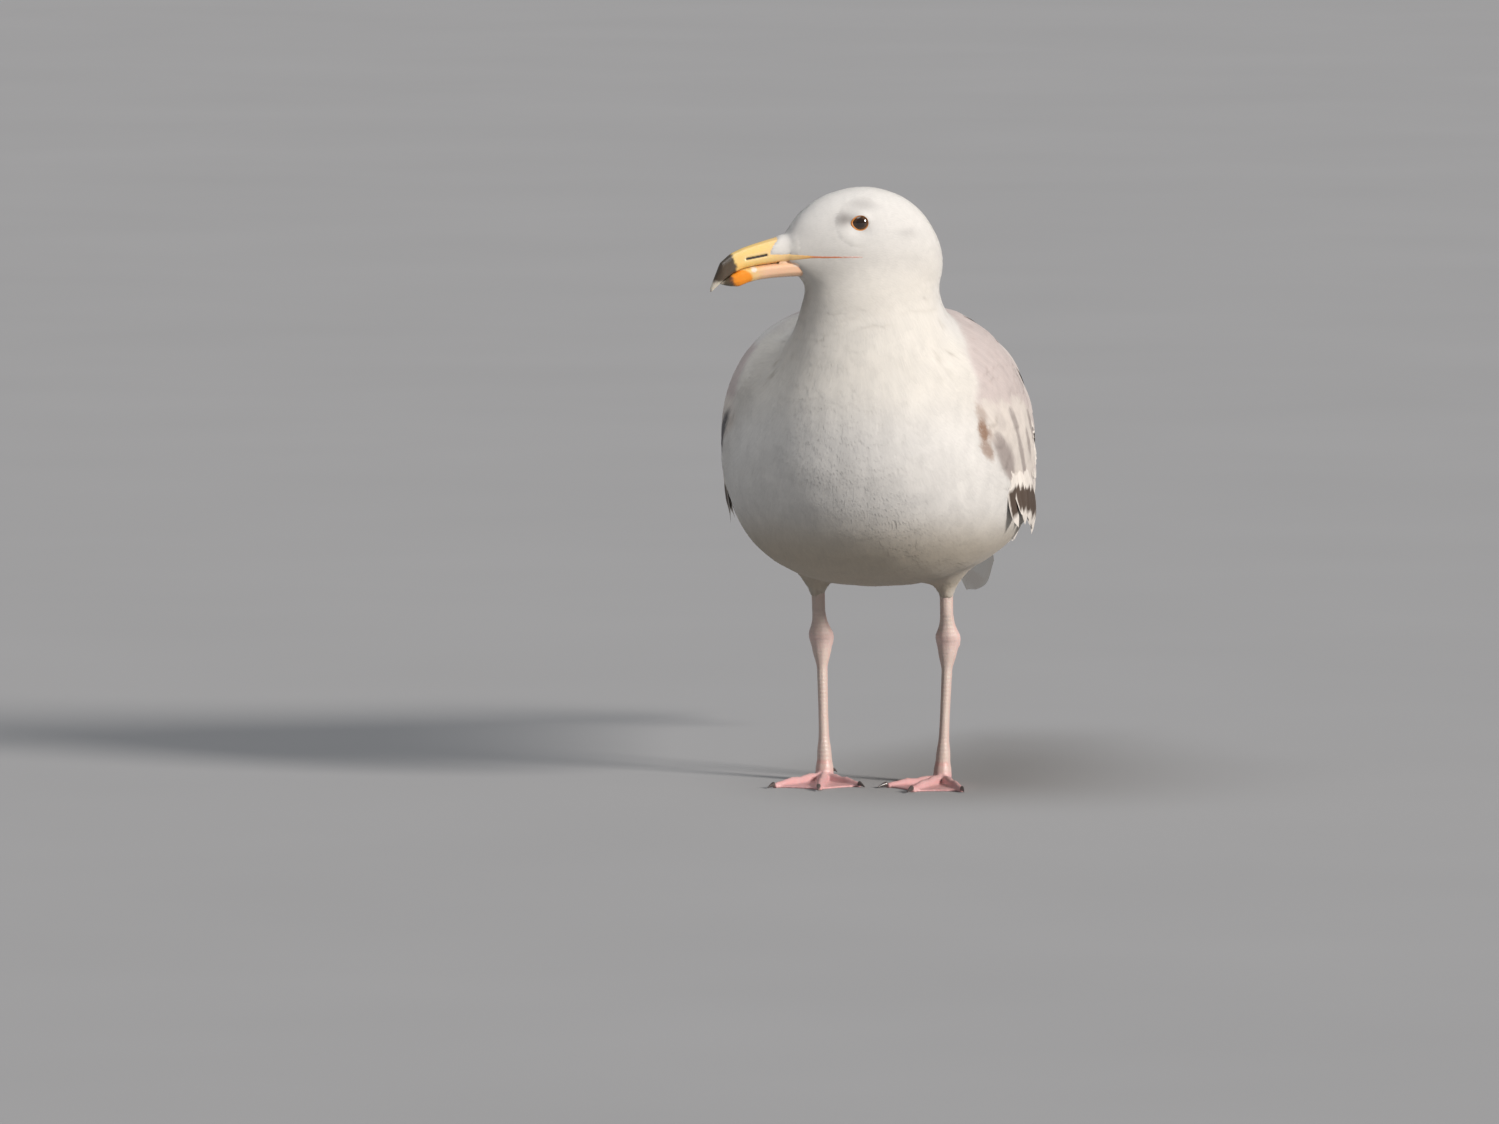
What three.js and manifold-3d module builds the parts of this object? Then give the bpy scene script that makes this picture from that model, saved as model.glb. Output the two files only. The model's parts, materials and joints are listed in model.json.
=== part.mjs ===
// A life-size standing herring gull, almost grown up, as a still model: its head is turned to its right, its
// wings are folded and its feet are flat on the floor. Millimetres, +Z up, the bird faces -Y and its left side
// is +X.
// Flesh and feathers are parted by thin cuts, so that each part of the bird is one closed solid.
import * as THREE from "three";
import { mergeVertices } from "three/addons/utils/BufferGeometryUtils.js";
import Module from "manifold-3d";

const wasm = await Module();
wasm.setup();

// ---------------------------------------------------------------- driving dimensions

const GAP = 0.35; // clearance between neighbouring solids
const STANCE = [-3.2, 15, -1.3]; // how far the legs stand from the place where the body's own plan has them
const LEG_SPREAD = 33; // half the distance between the two feet
const TARSUS_FOOT_Z = 9; // height of the joint between tarsus and toes
const HOCK = { x: 35.4, y: 3, z: 78 }; // the ankle joint, half way up the bare leg
const TIBIA_TOP = { x: 36, y: -8, z: 107 }; // where the bare leg enters the feathers

// The trunk and the neck are one row of sections. Behind the legs the sections stand upright:
// y, top, bottom, half width
const TRUNK = [
  [20, 254, 109.5, 80],
  [60, 231, 111, 67],
  [98, 205, 113, 50],
  [130, 181, 115, 37],
  [160, 154, 116, 28],
  [190, 133, 116, 20],
  [212, 121, 115.5, 11],
];
// In front of them they fan out about a hinge behind the nape, from upright to level, round the breast.
const HINGE = { y: 20, z: 292 };
// fan stations: angle, distance of the back or nape, distance of the breast or throat, half width, sideways
// shift, and the lean that turns the top of the neck into line with the head
const FAN = [
  [0, 38, 182.5, 80, 0, 0],
  [10, 35, 186, 82, 0, 0],
  [20, 34, 193, 82, 0, 0],
  [30, 35.5, 195.5, 80, 0.5, 0],
  [40, 40, 193, 74, 1, 0],
  [50, 46, 181, 63.5, 2.5, 0],
  [60, 51, 159, 50.5, 4.5, -0.06],
  [70, 53.5, 137, 40, 6.2, -0.16],
  [80, 56, 123.5, 34.2, 7.4, -0.28],
  [90, 58, 117.5, 33, 8.5, -0.38],
];
// the sections of the trunk and of the throat: 2 is a plain oval, more is squarer; level is where they are
// widest, as a share of their height from the belly or breast
const TRUNK_SECTION = { squareness: 2.35, level: 0.4 };
const THROAT_SECTION = { squareness: 1.95, level: 0.5 };
const NECK_TOP_Z = 306;
const NECK_TOP_TAPER = 0.35; // how far the neck's last ring, inside the head, draws in to its middle

const HEAD_CENTRE = new THREE.Vector3(8.5, -70, 301);
const HEAD_YAW = 60; // degrees that the head is turned to the bird's right
// head stations along the bill's direction: u, top, bottom, half width
const HEAD = [
  [-39.6, -8, -14, 2.5],
  [-38, -1.5, -22, 7.5],
  [-34, 7, -29, 13],
  [-27.5, 16.6, -34, 18.4],
  [-18, 24.6, -37, 22.6],
  [-6, 29.6, -38, 24.8],
  [6, 31.6, -38, 25.2],
  [20, 29.6, -34, 22.6],
  [31, 25.8, -27, 18.2],
  [40, 19.8, -20.5, 14],
  [46.5, 13, -17.2, 11],
  [52, 5.2, -14.5, 8.6],
];
const HEAD_SQUARENESS = 2.12;
const HEAD_CROWDING = 1.35; // more than 1 puts more rings at the back of the skull, where it curves most
const EYE = { u: 12.8, v: 15.4, w: 11.8, radius: 7.4 };

// bill stations along the same direction: u, upper line, lower line, half width
const UPPER_BILL = [
  [34, 8, -7.4, 8.6],
  [46, 6.6, -8.7, 8],
  [52, 5, -9.4, 7.4],
  [64, 1.8, -10.7, 6.2],
  [74, -1.2, -12.3, 5.4],
  [81.4, -4.4, -15.4, 4.7],
  [87.4, -9.4, -20, 3.8],
  [91.4, -16, -23.6, 2.6],
  [92.9, -22.6, -25.4, 1],
];
const LOWER_BILL = [
  [34, -7.6, -18, 8.6],
  [46, -8.8, -17.5, 7.7],
  [63, -10.6, -18.5, 6],
  [71, -11.6, -20, 5.2],
  [77.6, -13, -22.5, 4.6],
  [81.5, -15, -22.3, 4.1],
  [85, -17.6, -21.2, 3.2],
  [88, -19.8, -20.8, 1.2],
];
const BILL_SQUARENESS = 2.5;
// widest low in the upper half and high in the lower half, so that the two meet on broad edges
const UPPER_BILL_LEVEL = 0.28;
const LOWER_BILL_LEVEL = 0.72;

// The folded wings wrap the body as parts of one envelope.
// envelope stations: y, centre z, half width, height above the centre, depth below it
const ENVELOPE = [
  [-98, 186, 64, 56, 60],
  [-76, 186, 76.5, 73, 64],
  [-50, 183, 83, 84, 68],
  [-15, 179, 86, 90, 70],
  [25, 172, 82, 88.5, 62],
  [65, 163, 72, 72, 46],
  [100, 155, 63.5, 55, 34],
  [130, 148, 56, 42, 26],
  [156, 141, 49, 30, 19],
];
const WING_SQUARENESS = 2.45;
const WING_EDGE_THICKNESS = 0.6;
// wing stations: y, lower edge and upper edge as turns round the envelope, thickness
const WING = [
  [-84, 28, 36, 5],
  [-73, 10, 48, 9],
  [-60, 0, 60, 13],
  [-44, -10, 69, 16],
  [-24, -22, 76, 17],
  [0, -31, 82, 17],
  [40, -36, 86.5, 14],
  [85, -38, 88, 10],
  [120, -32, 88, 7],
  [156, -10, 84, 3],
];
// the long flight feathers past the wing: y, centre z, half width, height, lower and upper edge, thickness
const WINGTIP = [
  [156.7, 138.5, 44.5, 29, -22, 88, 4.8],
  [200, 129, 34, 18, -12, 88, 4.4],
  [240, 120.5, 25, 11, -4, 87.5, 3.6],
  [280, 113.5, 17, 6, 4, 86, 2.6],
  [322, 108, 8, 2.5, 15, 75, 1.4],
];

// tail stations: y, middle z, half width, thickness
const TAIL = [
  [170, 126, 16, 5],
  [200, 120.5, 18.5, 4.6],
  [235, 114.5, 20.5, 3.4],
  [266, 109.5, 22, 2.4],
  [283, 107, 22, 1.6],
];
const TAIL_ARCH = 4; // how much the middle feathers stand over the outer ones
const TAIL_EDGE = 0.6; // the share of its thickness that the tail loses at its sides

// legs, from low to high: share of the way between the two joints, half width, half depth
const TARSUS = [
  [-0.04, 4.2, 4.8],
  [0.08, 3.9, 4.6],
  [0.25, 3.2, 4.3],
  [0.6, 3.2, 4.2],
  [0.82, 3.9, 4.8],
  [0.95, 6, 6.2],
  [1.02, 6, 6],
];
const TIBIA = [
  [-0.1, 6, 6],
  [0.12, 5.9, 6.1],
  [0.4, 4.2, 4.9],
  [1, 3.9, 4.6],
];
const ANKLE = [
  [0, 4.6, 5.2],
  [0.5, 5, 5.6],
  [1, 4, 4.6],
];
const THIGH = [
  [0, 5.6, 7],
  [0.2, 9, 13],
  [1, 18, 26],
];
const THIGH_FROM = [0, 0, -6]; // both ends of the feathered thigh, from the top of the bare leg
const THIGH_TO = [2, -6, 30];
const ANKLE_HEIGHT = 3; // how far the foot's own stump stands over the joint with the tarsus

// toes: name, angle outwards from straight ahead, length without claw, radius at the root and at the tip, and
// length of the claw
const TOES = [
  ["inner", -41, 38, 2.9, 2, 6.5],
  ["middle", -8, 50, 3.3, 2.2, 8.5],
  ["outer", 24, 47, 3.1, 2, 6],
];
const TOE_START = -2; // toes begin a little behind the joint
const TOE_HEIGHT = 1.75; // of a toe's section, in half widths
const TOE_JOINTS = 3;
const TOE_SWELL = 0.09; // how much thicker a toe is at its joints, as a share
const TOE_END = 0.7; // how much of its radius a toe keeps at its end
// the web: how far out it is fixed to the toes, and how far its free edge curves in between them
const WEB = { thickness: 0.9, reach: 0.97, scallop: 0.44 };
const CLAW = { taper: 0.86, bend: 1.8, height: 1.25, radius: 0.72, drop: 0.75, rise: 1.05 };
// the short hind toe, and its claw
const HALLUX = { angle: 200, start: 2, length: 8, radius: 2.25, drop: 1.5, z: 7 };
const HIND_CLAW = { length: 4, radius: 1, drop: 2, z: 5.5 };

// where the flesh and the wings are cut into parts: a point on the cut and the direction straight across it
const HEAD_CUT = { below: 33, normal: [-0.22, -0.12, 1] }; // leans with the jaw
const NECK_CUT = { point: [0, -62, 240], normal: [0, -0.3, 1] }; // leans with the shoulders
const WING_CUT = { point: [0, 112, 160], normal: [0, 1, 0.45] };

// how many sides a section has, and how many rings a form has
const SIDES = { trunk: 28, head: 20, bill: 12, limb: 10, thigh: 16, toe: 4, claw: 6 };
const ACROSS = { wing: 7, wingtip: 6, tail: 6 };
const RINGS = { neck: 16, trunk: 9, head: 14, bill: 10, wing: 12, wingtip: 8, tail: 6 };
const LEG_RINGS = { tarsus: 9, tibia: 5, ankle: 3, thigh: 5, toe: 6, claw: 4 };
const EYE_NET = [12, 7];

const COLOURS = {
  white: 0xf1efec,
  grey: 0xb9b3b0,
  dark: 0x3a322e,
  yellow: 0xdcb878,
  pink: 0xdcb4ae,
  horn: 0x2b2826,
  eye: 0x2a1b12,
};

// ---------------------------------------------------------------- helpers

const radians = THREE.MathUtils.degToRad;
const vector = ([x, y, z]) => new THREE.Vector3(x, y, z);
const UP = vector([0, 0, 1]);
const DOWN = vector([0, 0, -1]);

// A smooth curve through rows of [position, value, value, ...], as a function from position to the values.
function smooth(rows) {
  const slope = (k, c) => {
    const a = rows[Math.max(k - 1, 0)];
    const b = rows[Math.min(k + 1, rows.length - 1)];
    return (b[c] - a[c]) / (b[0] - a[0]);
  };
  return (at) => {
    const last = rows.length - 2;
    let k = 0;
    while (k < last && at > rows[k + 1][0]) k += 1;
    const [a, b] = [rows[k], rows[k + 1]];
    const span = b[0] - a[0];
    const t = THREE.MathUtils.clamp((at - a[0]) / span, 0, 1);
    const [leave, arrive] = [t ** 3 - 2 * t ** 2 + t, t ** 3 - t ** 2];
    const share = 3 * t ** 2 - 2 * t ** 3;
    const value = (c) =>
      (1 - share) * a[c] + share * b[c] + span * (leave * slope(k, c) + arrive * slope(k + 1, c));
    return a.slice(1).map((_, i) => value(i + 1));
  };
}

// Evenly spaced positions from a to b.
const steps = (a, b, count) => Array.from({ length: count + 1 }, (_, i) => a + ((b - a) * i) / count);

// Evenly spaced positions over a row of stations.
const spread = (rows, count) => steps(rows[0][0], rows[rows.length - 1][0], count);

// A closed solid through rings of equally many points. Each end is closed by rungs that join the ring's first
// half to its second half, which suits an oval and the curved shell of a wing alike.
function loft(rings) {
  const n = rings[0].length;
  const index = [];
  for (let r = 0; r + 1 < rings.length; r += 1) {
    for (let i = 0; i < n; i += 1) {
      const [a, b] = [r * n + i, r * n + ((i + 1) % n)];
      index.push(a, b, a + n, b, b + n, a + n);
    }
  }
  const close = (first, turn) => {
    for (let i = 0; i + 1 < n - 1 - i; i += 1) {
      const [a, b, c, d] = [first + i, first + i + 1, first + n - 2 - i, first + n - 1 - i];
      const faces = b === c ? [[a, b, d]] : [[a, b, d], [b, c, d]];
      faces.forEach((face) => index.push(...(turn ? face.reverse() : face)));
    }
  };
  close(0, true);
  close((rings.length - 1) * n, false);
  const geometry = new THREE.BufferGeometry().setFromPoints(rings.flat());
  geometry.setIndex(index);
  return outwards(solidOf(geometry), geometry);
}

// A geometry as a manifold-3d solid.
function solidOf(geometry) {
  const bare = geometry.clone();
  bare.deleteAttribute("normal");
  bare.deleteAttribute("uv");
  const merged = mergeVertices(bare, 1e-4);
  return new wasm.Manifold(
    new wasm.Mesh({
      numProp: 3,
      vertProperties: new Float32Array(merged.attributes.position.array),
      triVerts: new Uint32Array(merged.index.array),
    }),
  );
}

// The same solid with its faces pointing out, whichever way its rings ran.
function outwards(solid, geometry) {
  if (solid.volume() > 0) return solid;
  const index = Array.from(geometry.index.array);
  for (let i = 0; i < index.length; i += 3) [index[i + 1], index[i + 2]] = [index[i + 2], index[i + 1]];
  geometry.setIndex(index);
  return solidOf(geometry);
}

// The largest of the separate bodies in a solid.
const biggest = (solid) => solid.decompose().reduce((a, b) => (a.volume() >= b.volume() ? a : b));

// Both sides of a thin cut through a solid, at a plane given by its normal and a point on it.
function part(solid, normal, point) {
  const n = normal.clone().normalize();
  const at = n.dot(point);
  const [front] = solid.splitByPlane([n.x, n.y, n.z], at + GAP / 2);
  const [, back] = solid.splitByPlane([n.x, n.y, n.z], at - GAP / 2);
  return [biggest(front), biggest(back)];
}

const mirrored = (solid) => solid.mirror([1, 0, 0]);

// An oval ring in the XZ plane at y; squareness 2 is an ellipse.
function ovalXZ(y, centre, half, up, down, count, squareness = 2) {
  return steps(0, 2 * Math.PI, count)
    .slice(0, count)
    .map((angle) => {
      const [c, s] = [Math.cos(angle), Math.sin(angle)];
      const power = 2 / squareness;
      const x = half * Math.sign(c) * Math.abs(c) ** power;
      const z = (s > 0 ? up : down) * Math.sign(s) * Math.abs(s) ** power;
      return new THREE.Vector3(x, y, centre + z);
    });
}

// ---------------------------------------------------------------- trunk, neck and head

// A section of trunk or neck: the way down (or forwards) is the direction of `down`, and the way out is x.
function section(hinge, down, near, far, half, shift, lean, level, squareness) {
  const middle = far - level * (far - near);
  return ovalXZ(0, 0, half, middle - near, far - middle, SIDES.trunk, squareness).map((p) =>
    hinge
      .clone()
      .addScaledVector(down, middle - p.z)
      .add(new THREE.Vector3(shift + p.x - lean * p.z, 0, 0)),
  );
}

// The trunk with the neck, grown by a clearance.
function torso(grow) {
  const [fan, back] = [smooth(FAN), smooth(TRUNK)];
  const hinge = new THREE.Vector3(0, HINGE.y, HINGE.z);
  const fanRing = (degrees) => {
    const [near, far, half, shift, lean] = fan(degrees);
    const down = new THREE.Vector3(0, -Math.sin(radians(degrees)), -Math.cos(radians(degrees)));
    const turned = degrees / 90;
    const level = THREE.MathUtils.lerp(TRUNK_SECTION.level, THROAT_SECTION.level, turned);
    const squareness = THREE.MathUtils.lerp(TRUNK_SECTION.squareness, THROAT_SECTION.squareness, turned);
    return section(hinge, down, near - grow, far + grow, half + grow, shift, lean, level, squareness);
  };
  const backRing = (y) => {
    const [top, bottom, half] = back(y);
    const [near, far] = [HINGE.z - top - grow, HINGE.z - bottom + grow];
    const at = new THREE.Vector3(0, y, HINGE.z);
    const { level, squareness } = TRUNK_SECTION;
    return section(at, DOWN, near, far, half + grow, 0, 0, level, squareness);
  };
  const neckRings = steps(90, 0, RINGS.neck).map(fanRing);
  const places = spread(TRUNK, RINGS.trunk);
  places[RINGS.trunk] += grow;
  const trunkRings = places.slice(1).map(backRing);
  const capRing = neckRings[0].map((p) => {
    const centre = new THREE.Vector3(HEAD_CENTRE.x, HEAD_CENTRE.y, NECK_TOP_Z);
    return new THREE.Vector3(p.x, p.y, NECK_TOP_Z).lerp(centre, NECK_TOP_TAPER);
  });
  return loft([capRing, ...neckRings, ...trunkRings]);
}

// The head's own frame: u along the bill, v to the head's left, w up.
const HEAD_TURN = new THREE.Matrix4().makeRotationZ(radians(-HEAD_YAW));
const FORWARD = new THREE.Vector3(0, -1, 0).applyMatrix4(HEAD_TURN);
const LEFT = new THREE.Vector3(1, 0, 0).applyMatrix4(HEAD_TURN);

function inHead(u, v, w) {
  return HEAD_CENTRE.clone()
    .addScaledVector(FORWARD, u)
    .addScaledVector(LEFT, v)
    .add(new THREE.Vector3(0, 0, w));
}

function headRing(u, top, bottom, half, count, squareness, level = 0.5) {
  const centre = bottom + level * (top - bottom);
  const ring = ovalXZ(0, centre, half, top - centre, centre - bottom, count, squareness);
  return ring.map((p) => inHead(u, p.x, p.z));
}

function headShape() {
  const at = smooth(HEAD);
  const [back, front] = [HEAD[0][0], HEAD[HEAD.length - 1][0]];
  const places = steps(0, 1, RINGS.head).map((t) => back + (front - back) * t ** HEAD_CROWDING);
  return loft(places.map((u) => headRing(u, ...at(u), SIDES.head, HEAD_SQUARENESS)));
}

// One half of the bill, grown by a clearance.
function mandible(rows, grow, level) {
  const at = smooth(rows);
  return loft(
    spread(rows, RINGS.bill).map((u) => {
      const [top, bottom, half] = at(u);
      return headRing(u, top + grow, bottom - grow, half + grow, SIDES.bill, BILL_SQUARENESS, level);
    }),
  );
}

const upperBill = (grow) => mandible(UPPER_BILL, grow, UPPER_BILL_LEVEL);
const lowerBill = (grow) => mandible(LOWER_BILL, grow, LOWER_BILL_LEVEL);

function eyeball(side, grow) {
  const ball = new THREE.SphereGeometry(EYE.radius + grow, ...EYE_NET);
  const at = inHead(EYE.u, side * EYE.v, EYE.w);
  return outwardsOf(ball.translate(at.x, at.y, at.z));
}

const outwardsOf = (geometry) => outwards(solidOf(geometry), geometry);

// ---------------------------------------------------------------- wings and tail

// A shell over part of a squarish oval, from one turn to another, rounded off at both edges.
function shellRing(y, centre, half, up, down, low, high, thickness, count) {
  const power = 2 / WING_SQUARENESS;
  const place = (degrees, depth) => {
    const [c, s] = [Math.cos(radians(degrees)), Math.sin(radians(degrees))];
    const height = s > 0 ? up : down;
    const x = Math.sign(c) * Math.abs(c) ** power * (half - depth);
    return new THREE.Vector3(x, y, centre + Math.sign(s) * Math.abs(s) ** power * (height - depth));
  };
  const across = steps(-1, 1, count);
  const angle = (t) => (low + high) / 2 + (t * (high - low)) / 2;
  const depth = (t) => thickness * Math.sqrt(1 - t ** 4) + WING_EDGE_THICKNESS;
  const outer = across.map((t) => place(angle(t), 0));
  const inner = across.map((t) => place(angle(t), depth(t))).reverse();
  return [...outer, ...inner];
}

function wing() {
  const [body, edges] = [smooth(ENVELOPE), smooth(WING)];
  return loft(spread(WING, RINGS.wing).map((y) => shellRing(y, ...body(y), ...edges(y), ACROSS.wing)));
}

function wingtip() {
  const at = smooth(WINGTIP);
  const rings = spread(WINGTIP, RINGS.wingtip).map((y) => {
    const [centre, half, up, low, high, thickness] = at(y);
    return shellRing(y, centre, half, up, up, low, high, thickness, ACROSS.wingtip);
  });
  return loft(rings);
}

function tail() {
  const at = smooth(TAIL);
  const across = steps(-1, 1, ACROSS.tail);
  const rings = spread(TAIL, RINGS.tail).map((y) => {
    const [z, half, thickness] = at(y);
    const surface = (t, side) => {
      const middle = z + TAIL_ARCH * (1 - t * t);
      return new THREE.Vector3(half * t, y, middle + (side * thickness * (1 - TAIL_EDGE * t * t)) / 2);
    };
    return [...across.map((t) => surface(t, 1)), ...across.map((t) => surface(t, -1)).reverse()];
  });
  return loft(rings);
}

// ---------------------------------------------------------------- legs and feet

const FOOT = new THREE.Vector3(LEG_SPREAD, 0, TARSUS_FOOT_Z);

// A limb of round section between two points. Rows are [share of the way, half width, half depth].
function limb(from, to, rows, rings, count) {
  const at = smooth(rows);
  return loft(
    spread(rows, rings).map((t) => {
      const [half, depth] = at(t);
      const c = from.clone().lerp(to, t);
      return ovalXZ(0, 0, half, depth, depth, count).map((p) => new THREE.Vector3(c.x + p.x, c.y + p.z, c.z));
    }),
  );
}

function bareLeg() {
  const hock = new THREE.Vector3(HOCK.x, HOCK.y, HOCK.z);
  const top = new THREE.Vector3(TIBIA_TOP.x, TIBIA_TOP.y, TIBIA_TOP.z);
  const tarsus = limb(FOOT, hock, TARSUS, LEG_RINGS.tarsus, SIDES.limb);
  return tarsus.add(limb(hock, top, TIBIA, LEG_RINGS.tibia, SIDES.limb));
}

function thigh() {
  const top = new THREE.Vector3(TIBIA_TOP.x, TIBIA_TOP.y, TIBIA_TOP.z);
  const [from, to] = [THIGH_FROM, THIGH_TO].map((shift) => top.clone().add(vector(shift)));
  return limb(from, to, THIGH, LEG_RINGS.thigh, SIDES.thigh);
}

// The direction of a toe on the floor, turned outwards from straight ahead.
const ahead = (degrees) => new THREE.Vector3(Math.sin(radians(degrees)), -Math.cos(radians(degrees)), 0);

// A toe lies on the floor with a flat sole: half-round sections, a little thicker at its joints.
function toe(degrees, length, root, tip) {
  const along = ahead(degrees);
  const across = new THREE.Vector3(-along.y, along.x, 0);
  const rings = steps(TOE_START, length, LEG_RINGS.toe).map((d) => {
    const share = Math.max(d, 0) / length;
    const swell = 1 + TOE_SWELL * Math.cos(share * TOE_JOINTS * 2 * Math.PI);
    const radius = (root + (tip - root) * share) * swell * (d === length ? TOE_END : 1);
    const c = new THREE.Vector3(LEG_SPREAD, 0, 0).addScaledVector(along, d);
    return steps(0, Math.PI, SIDES.toe).map((a) =>
      c
        .clone()
        .addScaledVector(across, radius * Math.cos(a))
        .addScaledVector(UP, TOE_HEIGHT * radius * Math.sin(a) ** 0.8),
    );
  });
  return loft(rings);
}

// A claw: a cone bent down along an arc, from the end of a toe to the floor.
function claw(from, along, length, radius, drop) {
  const across = new THREE.Vector3(-along.y, along.x, 0).normalize();
  const rings = steps(0, 1, LEG_RINGS.claw).map((t) => {
    const r = radius * (1 - CLAW.taper * t);
    const c = from
      .clone()
      .addScaledVector(along, length * t)
      .addScaledVector(UP, -drop * t ** CLAW.bend);
    return steps(0, 2 * Math.PI, SIDES.claw)
      .slice(0, SIDES.claw)
      .map((a) =>
        c
          .clone()
          .addScaledVector(across, r * Math.cos(a))
          .addScaledVector(UP, CLAW.height * r * Math.sin(a)),
      );
  });
  return loft(rings);
}

// One web: a thin sheet from the foot's joint out to two toes, with a scalloped front edge.
function web(a, b) {
  const end = (toeRow, share) => ahead(toeRow[1]).multiplyScalar(toeRow[2] * share);
  const [first, second] = [end(a, WEB.reach), end(b, WEB.reach)];
  const middle = end(a, WEB.scallop).add(end(b, WEB.scallop));
  const outline = new THREE.Shape();
  outline.moveTo(0, -TOE_START);
  outline.lineTo(first.x, first.y);
  outline.quadraticCurveTo(middle.x, middle.y, second.x, second.y);
  const sizes = { depth: WEB.thickness, bevelEnabled: false, curveSegments: 4 };
  const sheet = new THREE.ExtrudeGeometry(outline, sizes);
  return outwardsOf(sheet.translate(LEG_SPREAD, 0, 0));
}

// One foot with its webs and its hind toe, and its claws by name.
function footAndClaws() {
  const sole = new THREE.Vector3(LEG_SPREAD, -1, 0);
  const back = ahead(HALLUX.angle);
  const heel = new THREE.Vector3(LEG_SPREAD, HALLUX.start, HALLUX.z);
  const nail = new THREE.Vector3(LEG_SPREAD, HALLUX.start, HIND_CLAW.z);
  nail.addScaledVector(back, HALLUX.length + GAP);
  let foot = limb(sole, FOOT.clone().addScaledVector(UP, ANKLE_HEIGHT), ANKLE, LEG_RINGS.ankle, SIDES.limb);
  foot = foot.add(claw(heel, back, HALLUX.length, HALLUX.radius, HALLUX.drop));
  const claws = { hind: claw(nail, back, HIND_CLAW.length, HIND_CLAW.radius, HIND_CLAW.drop) };
  TOES.forEach(([name, angle, length, root, tip, clawLength], i) => {
    foot = foot.add(toe(angle, length, root, tip));
    if (i > 0) foot = foot.add(web(TOES[i - 1], TOES[i]));
    const along = ahead(angle);
    const from = new THREE.Vector3(LEG_SPREAD, 0, tip * CLAW.rise).addScaledVector(along, length + GAP);
    claws[name] = claw(from, along, clawLength, tip * CLAW.radius, tip * CLAW.drop);
  });
  return [foot, claws];
}

// ---------------------------------------------------------------- the bird

const pieces = new Map();
const both = (name, solid, shift = [0, 0, 0]) => {
  pieces.set(name + "_left", solid.translate(shift));
  pieces.set(name + "_right", mirrored(solid).translate(shift));
};

const flesh = torso(0).add(headShape());
const underHead = HEAD_CENTRE.clone().addScaledVector(DOWN, HEAD_CUT.below);
const [skull, below] = part(flesh, vector(HEAD_CUT.normal), underHead);
const [throat, body] = part(below, vector(NECK_CUT.normal), vector(NECK_CUT.point));

const sockets = [upperBill(GAP), lowerBill(GAP), eyeball(1, GAP), eyeball(-1, GAP)];
pieces.set("head", biggest(sockets.reduce((solid, socket) => solid.subtract(socket), skull)));
pieces.set("neck", throat);
pieces.set("trunk", body);
pieces.set("bill_upper", upperBill(0));
pieces.set("bill_lower", biggest(lowerBill(0).subtract(upperBill(GAP))));
pieces.set("eye_left", eyeball(1, 0));
pieces.set("eye_right", eyeball(-1, 0));

const grownFlesh = torso(GAP);
const foldedWing = biggest(wing().subtract(grownFlesh));
const [innerQuills, wingCover] = part(foldedWing, vector(WING_CUT.normal), vector(WING_CUT.point));
both("wing", wingCover);
both("tertials", innerQuills);
both("wingtip", wingtip());
pieces.set("tail", biggest(tail().subtract(grownFlesh)));

const [foot, claws] = footAndClaws();
const leg = bareLeg().add(foot);
const [aboveFoot, toes] = part(leg, UP, new THREE.Vector3(0, 0, TARSUS_FOOT_Z + ANKLE_HEIGHT));
const [upperLeg, lowerLeg] = part(aboveFoot, UP, new THREE.Vector3(0, 0, HOCK.z));
const clearBody = grownFlesh.translate(STANCE.map((shift) => -shift));
both("thigh", biggest(thigh().subtract(clearBody)), STANCE);
// the bare leg stops a little under the feathered thigh
const [, shin] = part(upperLeg, UP, new THREE.Vector3(0, 0, TIBIA_TOP.z + THIGH_FROM[2] - 1));
both("tibia", shin, STANCE);
both("tarsus", lowerLeg, STANCE);
both("foot", toes, STANCE);
Object.entries(claws).forEach(([name, solid]) => both("claw_" + name, solid, STANCE));

// ---------------------------------------------------------------- materials and scene

const finish = (color, roughness) => new THREE.MeshStandardMaterial({ color, roughness, metalness: 0 });
const FINISHES = [
  [/^(head|neck|trunk|thigh)/, finish(COLOURS.white, 0.9)],
  [/^(wing|tertials)_/, finish(COLOURS.grey, 0.85)],
  [/^(wingtip|tail)/, finish(COLOURS.dark, 0.8)],
  [/^bill/, finish(COLOURS.yellow, 0.35)],
  [/^(tibia|tarsus|foot)/, finish(COLOURS.pink, 0.55)],
  [/^claw/, finish(COLOURS.horn, 0.4)],
  [/^eye/, finish(COLOURS.eye, 0.05)],
];

function meshOf(name, solid) {
  const { vertProperties, triVerts, numProp } = solid.getMesh();
  const points = [];
  for (let i = 0; i < vertProperties.length; i += numProp) points.push(...vertProperties.slice(i, i + 3));
  const geometry = new THREE.BufferGeometry();
  geometry.setAttribute("position", new THREE.Float32BufferAttribute(points, 3));
  geometry.setIndex(Array.from(triVerts));
  geometry.computeVertexNormals();
  const mesh = new THREE.Mesh(geometry, FINISHES.find(([names]) => names.test(name))[1]);
  mesh.name = name;
  return mesh;
}

const gull = new THREE.Group();
for (const [name, solid] of pieces) gull.add(meshOf(name, solid));

// the origin is on the floor, under the middle of the whole bird
const box = new THREE.Box3().setFromObject(gull);
const middle = box.getCenter(new THREE.Vector3());
gull.position.set(-middle.x, -middle.y, -box.min.z);

export default gull;
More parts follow.
